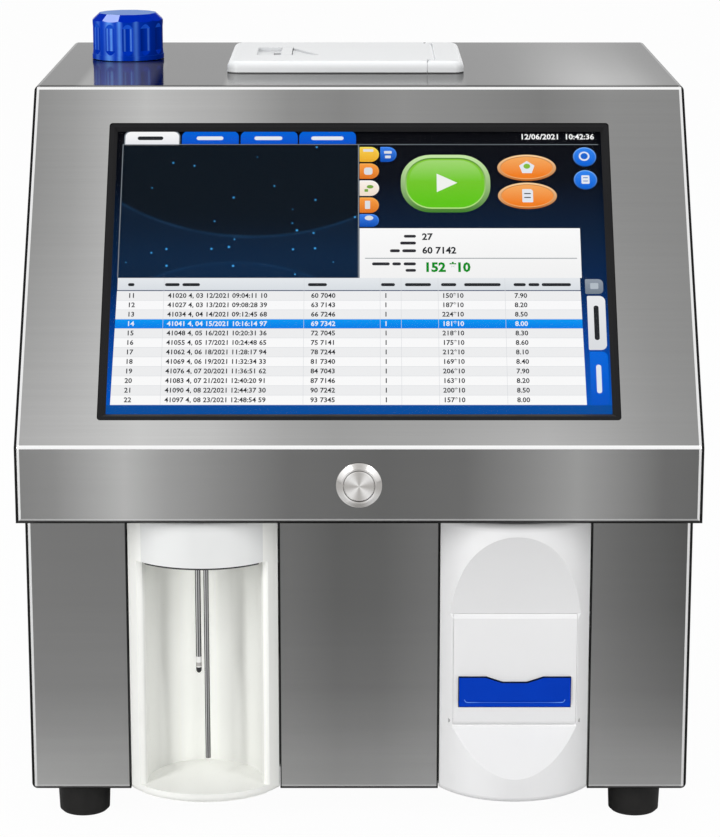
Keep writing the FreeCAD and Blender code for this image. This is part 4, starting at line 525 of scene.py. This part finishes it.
for number, y in enumerate((146.0, 134.1)):
    flat_piece("picture_disc_rim_%d" % number, [oval(101.0, y, 5.2, 5.0)], 3,
               lit("disc_rim_%d" % number, (0.0, 0.08, 0.4, 1), (0.2, 0.45, 1.0, 1), y - 5.0, y + 5.0))
    flat_piece("picture_disc_%d" % number, [oval(101.0, y, 4.7, 4.5)], 4,
               lit("disc_%d" % number, (0.0, 0.12, 0.68, 1), (0.03, 0.24, 0.9, 1), y - 4.5, y + 4.5))
flat_piece("picture_disc_signs", [oval(100.8, 146.3, 2.4, 2.4),
                                  rounded(99.2, 102.8, 132.0, 136.4, (0.5,) * 4)], 5, pale)
flat_piece("picture_disc_sign_holes", [oval(100.8, 146.3, 1.6, 1.6)], 6,
           lit("disc_hole", (0.01, 0.14, 0.7, 1)))
flat_piece("picture_disc_sign_lines", bars([(99.9, 102.1)], 134.9, 135.3) + bars([(99.9, 102.1)], 133.2,
                                                                                 133.6), 6,
           lit("disc_lines", (0.02, 0.15, 0.6, 1)))

# The result card and the table, white with grey rules and one chosen row.
card_white = lit("card_white", (0.93, 0.93, 0.93, 1), (1.0, 1.0, 1.0, 1), 84.0, 109.0)
flat_piece("picture_card", [rounded(0.2, 97.7, 84.2, 109.3)], 2, card_white)
flat_piece("picture_table_head", [rounded(-105.8, 96.9, 78.1, 84.2)], 3,
           lit("table_head", (0.72, 0.76, 0.8, 1), (0.82, 0.85, 0.88, 1), 78.0, 84.0))
row_count, chosen_row, row_pitch, head_top = 12, 3, 4.63, 84.2
row_tops = [77.6 - row_pitch * row for row in range(row_count + 1)]


def left_at(y):
    """Where the table ends on the left. It widens a little towards its foot, as on the right."""
    return -105.8 - (head_top - y) * 0.0178


def right_at(y):
    return 96.9 + (head_top - y) * 0.0145


bands = {"even": [], "odd": [], "chosen": []}
for row in range(row_count):
    high, low = row_tops[row], row_tops[row + 1]
    kind = "chosen" if row == chosen_row else ("even" if row % 2 == 0 else "odd")
    bands[kind].append([(left_at(low), low), (right_at(low), low), (right_at(high), high),
                        (left_at(high), high)])
flat_piece("picture_rows_white", bands["odd"], 2,
           lit("row_white", (1.0, 1.0, 1.0, 1), (0.99, 0.99, 1.0, 1), 22.0, 78.0))
flat_piece("picture_rows_grey", bands["even"], 2, lit("row_grey", (0.955, 0.96, 0.97, 1)))
flat_piece("picture_row_chosen", bands["chosen"], 2,
           lit("row_chosen", (0.0, 0.2, 0.82, 1), (0.0, 0.32, 0.94, 1), 59.0, 63.5))
lines = [rounded(left_at(y), right_at(y), y - 0.08, y + 0.08) for y in row_tops]
lines += [rounded(x - 0.08, x + 0.08, row_tops[row_count], 84.0)
          for x in (-85.4, -24.1, 9.2, 18.4, 34.6, 63.9)]
flat_piece("picture_table_lines", lines, 4, lit("table_lines", (0.74, 0.76, 0.79, 1)))
flat_piece("picture_head_marks", bars([(-101.2, -98.4), (-85.0, -78.6), (-77.4, -69.7), (-22.4, -14.1),
                                       (9.6, 15.7), (20.1, 31.5),
                                       (35.9, 42.6), (46.0, 62.0), (67.7, 73.0), (74.2, 79.0), (80.0, 92.8)],
                                      80.0, 81.5), 6, ink)
flat_piece("picture_card_marks", bars([(19.8, 25.1)], 104.4, 105.8) + bars([(18.1, 25.1)], 100.9, 102.4)
           + bars([(13.6, 18.0), (19.0, 25.1)], 97.0, 98.5) + bars([(5.7, 13.5), (14.6, 18.4), (19.6, 25.0)],
                                                                   90.4, 91.9)
           + bars([(20.4, 25.0)], 87.2, 88.6), 6, lit("mark_dark", (0.03, 0.03, 0.035, 1)))

# The side tabs at the right of the table and the blue foot of the picture.
flat_piece("picture_side_tab_grey", [rounded(99.0, 106.9, 76.2, 83.6, (0.5, 2.2, 2.2, 0.5))], 3,
           lit("side_tab_grey", (0.17, 0.21, 0.26, 1), (0.3, 0.34, 0.4, 1), 76.0, 84.0))
flat_piece("picture_side_tab_sign", [rounded(101.2, 104.8, 78.6, 81.6, (0.5,) * 4)], 5,
           lit("side_sign", (0.5, 0.56, 0.62, 1)))
flat_piece("picture_side_tab_white", [rounded(99.6, 107.5, 48.6, 75.2, (0.5, 2.6, 2.6, 0.5))], 3,
           lit("side_tab_white", (0.72, 0.74, 0.77, 1), (0.86, 0.87, 0.89, 1), 48.0, 75.0))
flat_piece("picture_side_tab_blue", [rounded(99.8, 107.7, 21.8, 47.8, (0.5, 2.6, 2.6, 0.5))], 3,
           lit("side_tab_blue", (0.0, 0.09, 0.58, 1), (0.0, 0.14, 0.74, 1), 22.0, 48.0))
flat_piece("picture_side_mark", [rounded(102.3, 104.5, 53.4, 70.4, (1.05,) * 4)], 5, ink)
flat_piece("picture_side_mark_pale", [rounded(102.4, 104.6, 27.6, 41.4, (1.05,) * 4)], 5, pale)
flat_piece("picture_foot", [rounded(-108.6, 109.6, 15.4, 21.9)], 3,
           lit("picture_foot", (0.0, 0.025, 0.1, 1), (0.001, 0.075, 0.34, 1), 15.6, 17.8))


# The figures in the table, on the card and in the clock are plain numbers in the panel's own type.

def figures(name, text, x, y, height, pitch, finish, align="LEFT", weight=0.11):
    """Lines of plain numbers, the first one with its foot at y."""
    size = height / 0.72
    curve = bpy.data.curves.new(name, "FONT")
    curve.body = text
    curve.size = size / 1000
    curve.space_line = pitch / size if pitch else 1.0
    curve.align_x = align
    curve.offset = weight * size / 1000 * 0.2
    curve.resolution_u = 2
    curve.materials.append(finish)
    piece = bpy.data.objects.new(name, curve)
    piece.location = on_slope(x, y, 7)
    piece.rotation_euler = (math.atan2(slope.z, slope.y), 0, 0)
    bpy.context.collection.objects.link(piece)
    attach(piece, "cabinet")


columns = {"number": [], "time": [], "name": [], "one": [], "count": [], "size": []}
for row in range(row_count):
    columns["number"].append(str(11 + row))
    columns["time"].append("%05d %d, %02d %02d/2021 %02d:%02d:%02d %02d" % (41020 + row * 7, 4, 3 + row // 2,
                                                                            12 + row,
                                                                          9 + row // 3, 4 + row * 4,
                                                                            11 + (row * 17) % 48,
                                                                          (row * 29) % 90 + 10))
    columns["name"].append("%02d 7%d4%d" % (60 + row * 3, row % 4, (row * 3) % 7))
    columns["one"].append("1")
    columns["count"].append("%d*10" % (150 + (row * 37) % 80))
    columns["size"].append("%.2f" % (7.9 + (row * 3 % 8) / 10))
starts = {"number": -101.1, "time": -83.6, "name": -21.0, "one": 10.9, "count": 36.2, "size": 67.9}
base = row_tops[0] - 3.4
for column, lines in columns.items():
    plain = "\n".join("" if row == chosen_row else line for row, line in enumerate(lines))
    figures("figures_" + column, plain, starts[column], base, 2.35, row_pitch, ink)
    figures("figures_chosen_" + column, lines[chosen_row], starts[column], base - chosen_row * row_pitch,
            2.35, 0, pale)
figures("figures_card", "27", 27.8, 103.3, 3.3, 0, ink, weight=0.16)
figures("figures_card_low", "60 7142", 27.8, 96.4, 3.3, 0, ink, weight=0.16)
figures("figures_result", "152 *10", 28.5, 87.3, 4.6, 0, lit("figures_green", (0.0, 0.27, 0.01, 1)),
        weight=0.2)
figures("figures_clock", "12/06/2021  10:42:36", 105.6, 155.1, 2.8, 0,
        lit("figures_white", (0.95, 0.95, 0.95, 1)), "RIGHT", 0.12)


# The push-button is turned from stainless steel. Its cap and flange are faced on the lathe, so fine
# rings run round the middle, and the light on them is painted into the colour as four light wedges.

ring_steel, start = new_finish("ring_turned_steel", Metallic=1.0)
place, x, y, z = place_of(start)
low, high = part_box("button_housing")
button_x, button_z = (low[0] + high[0]) / 2, (low[2] + high[2]) / 2
offset_x, offset_z = x - button_x, z - button_z
radius = (offset_x * offset_x + offset_z * offset_z) ** 0.5
turn = start.node("ShaderNodeMath", {"operation": "ARCTAN2"}, {0: offset_z, 1: offset_x})
ring_place = start.node("ShaderNodeCombineXYZ", None, {0: radius * 5200.0, 1: turn * 0.6, 2: 0.0})
rings = mottle(start, ring_place, 1.0, 2.0)
# Painted highlight: four light wedges round the middle, laid over the rings.
painted_wedges = start.node("ShaderNodeMath", {"operation": "COSINE"}, {0: turn * 4.0 + 3.14159})
rings_and_painted_wedges = 0.55 + painted_wedges * 0.3 + (rings - 0.5) * 0.25
lay(ring_steel, Base_Color=mixed(rings_and_painted_wedges, (0.34, 0.32, 0.30, 1), (0.95, 0.94, 0.93, 1)),
    Roughness=0.2 + (rings - 0.5) * 0.15,
    Normal=raised(rings, 0.25, 0.00003))
dress(ring_steel, "button_housing", "button_cap")


# The sample bay is a glossy warm-white moulding with a cooler hood over its head. Inside hang the
# polished sampling tube and the probe with its white collar and black tip.

def column_finish(name, colour, other, roughness, shades, under, inside=None, glow=None, door=None,
                  lever=None, swings=False, **steady):
    """A white moulding with shade painted into its colour under the cabinet's edge, in the seams beside
    the sheet, by which way a face looks and in the lever's pocket, and painted light glowing inside the
    bay and in the door's seams. All stops are multipliers: shades by how far a face looks up, under by
    its height, inside and glow by its place across the bay. Door is that piece's box, and lever the
    heights of the lever's pocket."""
    finish, start = new_finish(name, Emission_Strength=1.0, Emission_Color=(0, 0, 0, 1), **steady)
    place, x, y, z = place_of(start)
    lean, forward, upward = facing_of(start, swings)
    soft = mottle(start, place, 22.0, 3.0)
    fine = mottle(start, place, 1100.0, 2.0)
    # Painted shadow under the cabinet's edge, painted side light by which way a face leans, painted shade in the
    # seams beside the sheet, and painted light by how far a face looks up.
    shade = stepped(z, 0.13, 0.1428, [(0.13, 1.0), (0.1382, 1.0)] + under)
    shade = shade * stepped(lean, -1.0, 1.0, [(-1.0, 1.0), (-0.5, 1.0), (-0.08, 0.875), (0.08, 0.875),
                                                         (0.5, 0.93), (1.0, 0.93)])
    beside = abs(abs(x) - column_middle)
    shade = shade * (1.0 - (beside > 0.031) * (abs(lean) > 0.93) * 0.97)
    shade = shade * stepped(upward, -1.0, 1.0, shades)
    if inside:
        # Inside the bay: painted shade across its width and under its hood, and a painted glow in its middle.
        inner = (y > -0.1375) * (abs(x + column_middle) < 0.0262) * within(z, 0.0, 0.1224) * (upward < 0.8)
        painted_bay_shade = stepped(x, -0.095, -0.0415, inside)
        head = stepped(z, 0.105, 0.1225, [(0.105, 1.0), (0.114, 0.93), (0.12, 0.7), (0.1225, 0.5)])
        shade = shade.node("ShaderNodeSeparateColor", None, {0: mixed(inner, shade, painted_bay_shade * head)})
        lay(finish, Emission_Color=mixed(inner * stepped(x, -0.095, -0.0415, glow) * head, (0, 0, 0, 1),
                                         (0.9, 0.92, 0.87, 1)))
    if door:
        middle_x, middle_z = (door[0][0] + door[1][0]) / 2, (door[0][2] + door[1][2]) / 2
        from_x, from_z = abs(x - middle_x) - (door[1][0] - middle_x), abs(z - middle_z) - (door[1][2]
                                                                                           - middle_z)
        # Painted light: the door's seams glow faintly, more along its lower edge.
        painted_gap_glow = (abs(forward) < 0.5) * (from_x < 0.0005) * (from_z < 0.0005)
        painted_gap_glow = painted_gap_glow * ((from_x > -0.0005) * 0.05 + (from_z > -0.0005) * (z < middle_z) * 0.2)
        lay(finish, Emission_Color=painted_gap_glow)
        # Painted shade in the lever's pocket; it also darkens the wall behind the door at the lever's height.
        pocket = (y > -0.13795) * (abs(x - middle_x) < 0.0249) * within(z, lever[0] - 0.0005,
                                                                        lever[1] + 0.0005)
        shade = shade * (1.0 - pocket * 0.96)
    tint = start.node("ShaderNodeCombineXYZ", None, {0: shade, 1: shade, 2: shade})
    plain = mixed(soft, colour, other)
    colour = start.node("ShaderNodeMix", {"data_type": "RGBA", "blend_type": "MULTIPLY"},
                        {0: 1.0, 6: plain, 7: tint}).out(2)
    lay(finish, Base_Color=colour, Roughness=roughness + (fine - 0.5) * 0.12,
        Normal=raised(fine, 0.25, 0.00001))
    return finish


# Multipliers of painted light: even by how far a face looks up, edge_shadow a painted shadow under the cabinet's
# edge.
even = [(-1.0, 1.08), (0.0, 1.08), (0.5, 1.06), (0.8, 1.06), (1.0, 1.12)]
edge_shadow = [(0.1402, 0.93), (0.1415, 0.78), (0.1428, 0.5)]
# The bay: painted shade across its inside and a painted glow in its middle, by the place across it.
dress(column_finish("bay_white", (0.95, 0.955, 0.92, 1), (0.985, 0.99, 0.955, 1), 0.3, even, edge_shadow,
                    [(-0.095, 0.9), (-0.0895, 0.74), (-0.086, 0.8), (-0.0815, 0.96), (-0.075, 1.0),
                     (-0.066, 1.0),
                     (-0.0615, 0.9), (-0.057, 0.76), (-0.054, 0.8), (-0.05, 0.92), (-0.0415, 0.9)],
                    [(-0.095, 0.0), (-0.0815, 0.06), (-0.076, 0.2), (-0.068, 0.2), (-0.062, 0.05),
                     (-0.0415, 0.0)],
                    Coat_Weight=0.2, Coat_Roughness=0.15), "sample_bay")
dress(column_finish("hood_white", (0.785, 0.795, 0.79, 1), (0.825, 0.835, 0.83, 1), 0.34, even, edge_shadow),
      "bay_hood")
drawn_tube, start = new_finish("drawn_tube", Metallic=1.0)
_, x, y, z = place_of(start)
lean = facing_of(start)[0]
marks = mottle(start, start.node("ShaderNodeCombineXYZ", None, {0: x * 900.0, 1: y * 900.0, 2: z * 60.0}),
               1.0, 2.0)
# Painted reflection: the tube is dark at its edges with light lines along it, by which way its surface looks.
painted_tube_glint = stepped(lean + (marks - 0.5) * 0.06, -1.0, 1.0, [
    (-1.0, 0.09), (-0.72, 0.12), (-0.42, 0.78), (-0.2, 0.16), (0.02, 0.05), (0.38, 0.5), (0.62, 0.2),
                                                         (1.0, 0.1)])
lay(drawn_tube, Base_Color=painted_tube_glint, Roughness=0.2 + (marks - 0.5) * 0.1)
dress(drawn_tube, "sampling_tube", "temperature_probe")
dress(moulded("collar_white", (0.8, 0.8, 0.78, 1), (0.86, 0.86, 0.84, 1), 0.35), "probe_collar",
      "tube_manifold")
tip_black, start = new_finish("tip_black")
place, _, _, z = place_of(start)
sleeve = z > 0.0722
speck = mottle(start, place, 900.0, 2.0)
colour = mixed(sleeve, (0.012, 0.012, 0.013, 1), (0.5, 0.49, 0.47, 1))
lay(tip_black, Base_Color=mixed(within(z, 0.0718, 0.0722), colour, (0.85, 0.85, 0.83, 1)),
    Metallic=sleeve * 0.9,
    Roughness=0.3 + (speck - 0.5) * 0.1)
dress(tip_black, "probe_tip")


def swept(name, rings, finish):
    """A thin closed bar through rings of corners."""
    mesh = bpy.data.meshes.new(name)
    shape = bmesh.new()
    rings = [[shape.verts.new(corner) for corner in ring] for ring in rings]
    shape.faces.new(rings[0])
    for before, ring in zip(rings, rings[1:]):
        for corner in range(len(ring)):
            shape.faces.new((before[corner], before[corner - 1], ring[corner - 1], ring[corner]))
    shape.faces.new(list(reversed(rings[-1])))
    bmesh.ops.recalc_face_normals(shape, faces=shape.faces)
    shape.to_mesh(mesh)
    shape.free()
    mesh.materials.append(finish)
    piece = bpy.data.objects.new(name, mesh)
    bpy.context.collection.objects.link(piece)
    return piece


# A thin dark seal runs under the hood's edge, from one side of the opening to the other.
low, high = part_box("bay_hood")
middle_x, hood_z = (low[0] + high[0]) / 2, low[2]
arc_radius = 0.0387
arc_y = low[1] + arc_radius
rings = []
for step in range(25):
    offset = -0.025 + 0.05 * step / 24
    rings.append([(middle_x + offset * radius / arc_radius, arc_y - math.sqrt(radius ** 2 - offset ** 2),
                   hood_z + z)
                  for radius, z in ((0.03835, -0.0008), (0.0372, -0.0008), (0.0372, -0.00005),
                                    (0.03835, -0.00005))])
bay_lip = swept("bay_lip", rings, moulded("lip_black", (0.01, 0.01, 0.01, 1), (0.02, 0.02, 0.02, 1), 0.5))
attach(bay_lip, "cabinet")
dress(moulded("hose_silicone", (0.55, 0.55, 0.5, 1), (0.68, 0.68, 0.64, 1), 0.35), "hoses")


# The printer front is a satin light moulding, carved flat in the middle with a soft arch above and
# below. The door hangs in the flat and the blue lever snaps into its pocket.

# Painted light by how far a face looks up and a painted shadow under the cabinet's edge, on the printer front
# and its door.
for name, swings in (("printer_housing", False), ("printer_door", True)):
    dress(column_finish("white_" + name, (0.89, 0.89, 0.895, 1), (0.93, 0.93, 0.935, 1), 0.42,
                        [(-1.0, 0.93), (-0.04, 0.93), (0.0, 1.0), (0.03, 1.03), (0.1, 1.08), (1.0, 1.08)],
                        [(0.1395, 0.88), (0.1413, 0.5), (0.1428, 0.24)], door=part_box("printer_door"),
                        lever=(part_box("printer_latch")[0][2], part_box("printer_latch")[1][2]), swings=swings),
          name)
lever_blue, start = new_finish("lever_blue", Specular_IOR_Level=0.05)
place, _, _, z = place_of(start)
forward = facing_of(start, True)[1]
soft, fine = mottle(start, place, 60.0), mottle(start, place, 1500.0, 2.0)
colour = mixed(soft, (0.0, 0.036, 0.42, 1), (0.0, 0.046, 0.5, 1))
colour = mixed(z < 0.0586, colour, (0.0, 0.048, 0.52, 1))
# Painted shade: the faces of the lever that don't look forward are near black navy.
lay(lever_blue, Base_Color=mixed(abs(forward) < 0.8, colour, (0.0, 0.008, 0.06, 1)),
    Roughness=0.3 + (fine - 0.5) * 0.12, Normal=raised(fine, 0.25, 0.00002))
dress(lever_blue, "printer_latch")

# A fine rib, moulded along the lever's lower edge, gives the finger nail a hold.
latch_low, latch_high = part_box("printer_latch")
rib_middle = (latch_low[0] + latch_high[0]) / 2
rib_line = [(-0.022, 0.0037), (-0.0218, 0.003), (-0.0213, 0.0025), (-0.0205, 0.0023)]
rib_line += [(-x, z) for x, z in reversed(rib_line)]
rings = []
for index, (x, z) in enumerate(rib_line):
    before, after = rib_line[max(index - 1, 0)], rib_line[min(index + 1, len(rib_line) - 1)]
    along = Vector((after[0] - before[0], 0, after[1] - before[1])).normalized()
    beside_line = Vector((-along.z, 0, along.x))
    middle = Vector((rib_middle + x, latch_low[1], latch_low[2] + z))
    rings.append([middle + beside_line * (0.00017 * math.cos(math.radians(angle)))
                  + Vector((0, 0.0001 - 0.00022 * math.sin(math.radians(angle)), 0))
                  for angle in range(0, 181, 30)])
rib_blue, start = new_finish("rib_blue", Specular_IOR_Level=0.3, Roughness=0.25)
x = place_of(start)[1]
# Painted highlight: the rib turns light blue towards its ends.
painted_end_highlight = stepped(abs(x - rib_middle), 0.0, 0.023, [(0.0, 0.15), (0.015, 0.3), (0.0195, 1.0), (0.023, 1.0)])
lay(rib_blue, Base_Color=mixed(painted_end_highlight, (0.005, 0.075, 0.58, 1), (0.14, 0.34, 0.85, 1)))
lever_rib = swept("lever_rib", rings, rib_blue)
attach(lever_rib, "lever")
dress(moulded("roller_rubber", (0.02, 0.02, 0.02, 1), (0.035, 0.035, 0.035, 1), 0.7), "platen_roller")
dress(moulded("natural_plastic", (0.6, 0.58, 0.5, 1), (0.68, 0.66, 0.58, 1), 0.45), "platen_gear",
      "pump_rotor",
      "chip_carriage")
dress(turned_metal("milled_aluminium", (0.68, 0.68, 0.69, 1), 0.35), "thermal_head", "power_supply",
      "ultrasonic_cell")
dress(moulded("dark_enamel", (0.04, 0.04, 0.045, 1), (0.06, 0.06, 0.065, 1), 0.4), "printer_motor",
      "stage_motor",
      "optic_block", "pump_motor")


# The filler cap is injection-moulded in a deep glossy blue, with grip flutes and a bevelled top,
# its gloss painted into the colour. It screws on the neck of a natural, milky tank.

cap_blue, start = new_finish("cap_blue", Specular_IOR_Level=0.002)
place, x, y, z = place_of(start)
lean, _, upward = facing_of(start, True)
ripple = mottle(start, place, 260.0, 2.0)
# Painted highlights on the flutes by which way the wall looks, over a wall painted lighter on the left and
# darker on the right.
painted_glints = bell(lean, -0.47, 0.11) * 0.95 + bell(lean, -0.17, 0.06) * 0.7 + bell(lean, 0.3,
                                                                               0.06) * 0.4 + bell(lean, -0.8,
                                                                                                  0.06) * 0.4
wall = mixed(stepped(lean, -1.0, 1.0, [(-1.0, 0.75), (-0.5, 1.0), (-0.2, 0.75), (0.1, 0.5), (0.5, 0.45),
                                       (0.85, 0.2), (1.0, 0.1)]),
             (0.0, 0.014, 0.2, 1), (0.0, 0.046, 0.62, 1))
wall = mixed(painted_glints * (0.8 + ripple * 0.4), wall, (0.13, 0.36, 1.0, 1))
# Painted highlight on the bevel's left facets.
bevel = mixed(within(lean, -0.45, -0.06), (0.0, 0.022, 0.44, 1), (0.4, 0.5, 1.0, 1))
bevel = mixed(z > 0.33, (0.0, 0.034, 0.5, 1), bevel)
colour = mixed(within(upward, 0.25, 0.93), wall, bevel)
# Painted highlight on the faces that look down at the top of the flutes.
colour = mixed(within(upward, -0.97, -0.12), colour, (0.012, 0.1, 0.72, 1))
# Painted sheen: the top is a lighter, greyer blue, in random streaks.
streaks = mottle(start, start.node("ShaderNodeCombineXYZ", None, {0: x * 60.0, 1: y * 500.0, 2: 0.0}), 1.0,
                 2.0)
colour = mixed(upward > 0.93, colour, mixed(streaks, (0.02, 0.13, 0.52, 1), (0.06, 0.22, 0.64, 1)))
lay(cap_blue, Base_Color=colour, Roughness=0.12 + (ripple - 0.5) * 0.08)
dress(cap_blue, "filler_cap")
dress(moulded("seal_rubber", (0.03, 0.03, 0.03, 1), (0.05, 0.05, 0.05, 1), 0.7), "cap_liner", "neck_gasket")
dress(moulded("tank_natural", (0.68, 0.71, 0.7, 1), (0.77, 0.79, 0.78, 1), 0.4), "rinse_tank")


# The lid on the top is a thin satin-white moulding that turns on a steel pin. Its sliding key and the
# fixed hinge end are the same plastic.

lid_white, start = new_finish("lid_white", Emission_Strength=1.0)
place, x, y, z = place_of(start)
lean, _, upward = facing_of(start, True)
soft, fine = mottle(start, place, 20.0), mottle(start, place, 1200.0, 2.0)
# Painted light and shade by which way a face looks: the round front edge lightest, the front wall darker, the
# top lighter towards its front, and a painted shadow line along the lid's foot.
shade = stepped(upward, -1.0, 1.0, [(-1.0, 0.7), (0.0, 0.74), (0.12, 0.76), (0.35, 0.83), (0.6, 0.93),
                                    (0.85, 0.92), (0.96, 0.79), (1.0, 0.75)])
shade = shade * (1.0 + (upward > 0.9) * stepped(y, 0.0, 0.1, [(0.0, 0.08), (0.1, 0.0)]))
shade = shade * (1.0 - (z < 0.3176) * 0.55) + (soft - 0.5) * 0.03
# Painted light: the seam between the lid and its hinge block glows faintly.
painted_seam_glow = within(x, 0.0315, 0.0365) * (abs(lean) > 0.9)
lay(lid_white, Base_Color=start.node("ShaderNodeCombineColor", None,
                                     {0: shade * 0.985, 1: shade, 2: shade * 1.012}),
    Roughness=0.33 + (fine - 0.5) * 0.12, Normal=raised(fine, 0.25, 0.00001), Emission_Color=painted_seam_glow * 0.2)
dress(lid_white, "chip_lid", "lid_hinge_block", "lid_latch")
black_moulding = moulded("black_moulding", (0.02, 0.02, 0.021, 1), (0.035, 0.035, 0.037, 1), 0.5)
dress(black_moulding, "chip_bay_frame", "objective_lens", "pump_body", "fan_frame", "fan_impeller",
      "power_inlet")
dress(turned_metal("plated_can", (0.62, 0.62, 0.6, 1), 0.3), "usb_ports", "serial_port")


# The room: a pale floor that rises into the backdrop, two tall soft lamps in front, one over the top
# and a soft fill from the room. The camera looks slightly down at the front.

floor_mesh = bpy.data.meshes.new("floor")
shape = bmesh.new()
rows = [(-4.0, 0.0), (2.6, 0.0)]
rows += [(2.6 + 1.2 * math.sin(math.radians(a)), 1.2 - 1.2 * math.cos(math.radians(a)))
         for a in range(8, 41, 8)]
previous = None
for y, z in rows:
    pair = [shape.verts.new((x, y, z)) for x in (-6.0, 6.0)]
    if previous:
        shape.faces.new((previous[0], previous[1], pair[1], pair[0]))
    previous = pair
shape.to_mesh(floor_mesh)
shape.free()
floor = bpy.data.objects.new("floor", floor_mesh)
bpy.context.collection.objects.link(floor)
for face in floor_mesh.polygons:
    face.use_smooth = True
floor_paint, start = new_finish("floor_paint", Roughness=0.8)
place = place_of(start)[0]
lay(floor_paint, Base_Color=mixed(mottle(start, place, 3.0), (0.83, 0.83, 0.83, 1), (0.87, 0.87, 0.87, 1)))
tree = floor_paint.node_tree
path = start.node("ShaderNodeLightPath")
seen = path.out("Is Camera Ray")
glow = start.node("ShaderNodeEmission", None, {0: (1, 1, 1, 1), 1: 1.0})
both = start.node("ShaderNodeMixShader", None,
                  {0: seen * 0.97, 1: Wire(tree, tree.nodes["Principled BSDF"].outputs[0]), 2: glow})
tree.links.new(both.socket, tree.nodes["Material Output"].inputs[0])
floor_mesh.materials.append(floor_paint)

world = bpy.data.worlds.new("room")
bpy.context.scene.world = world
world.use_nodes = True
air = Wire(world.node_tree)
path = air.node("ShaderNodeLightPath")
direct = path.out("Is Camera Ray") + path.out("Is Glossy Ray") + path.out("Is Transmission Ray")
background = world.node_tree.nodes["Background"]
world.node_tree.links.new(mixed(direct > 0.5, (0.42, 0.42, 0.42, 1), (1, 1, 1, 1)).socket,
                          background.inputs[0])
background.inputs[1].default_value = 1.0


def lamp(name, place, aim, width, height, power):
    light = bpy.data.lights.new(name, "AREA")
    light.shape = "RECTANGLE"
    light.size = width
    light.size_y = height
    light.energy = power
    holder = bpy.data.objects.new(name, light)
    holder.location = place
    holder.rotation_euler = (Vector(aim) - Vector(place)).to_track_quat("-Z", "Y").to_euler()
    bpy.context.collection.objects.link(holder)


lamp("lamp_left", (-1.1, -1.4, 1.0), (0, 0, 0.15), 0.3, 1.4, 15)
lamp("lamp_right", (1.15, -1.3, 0.9), (0, 0, 0.15), 0.25, 1.4, 9)
lamp("lamp_top", (0.0, 0.7, 1.8), (0, 0, 0.2), 1.4, 0.8, 10)

camera_data = bpy.data.cameras.new("camera")
camera = bpy.data.objects.new("camera", camera_data)
bpy.context.collection.objects.link(camera)
focal_pixels, photo_height, sensor, tilt_down = 2900, 837, 36.0, 13.34
camera_data.sensor_width = sensor
camera_data.lens = focal_pixels / photo_height * sensor
camera_data.clip_end = 50
camera.location = (0.0004, crease_y - 1.1955, crease_z + 0.2961)
camera.rotation_euler = (math.radians(90 - tilt_down), 0, 0)
bpy.context.scene.camera = camera
bpy.context.scene.view_settings.view_transform = "Standard"
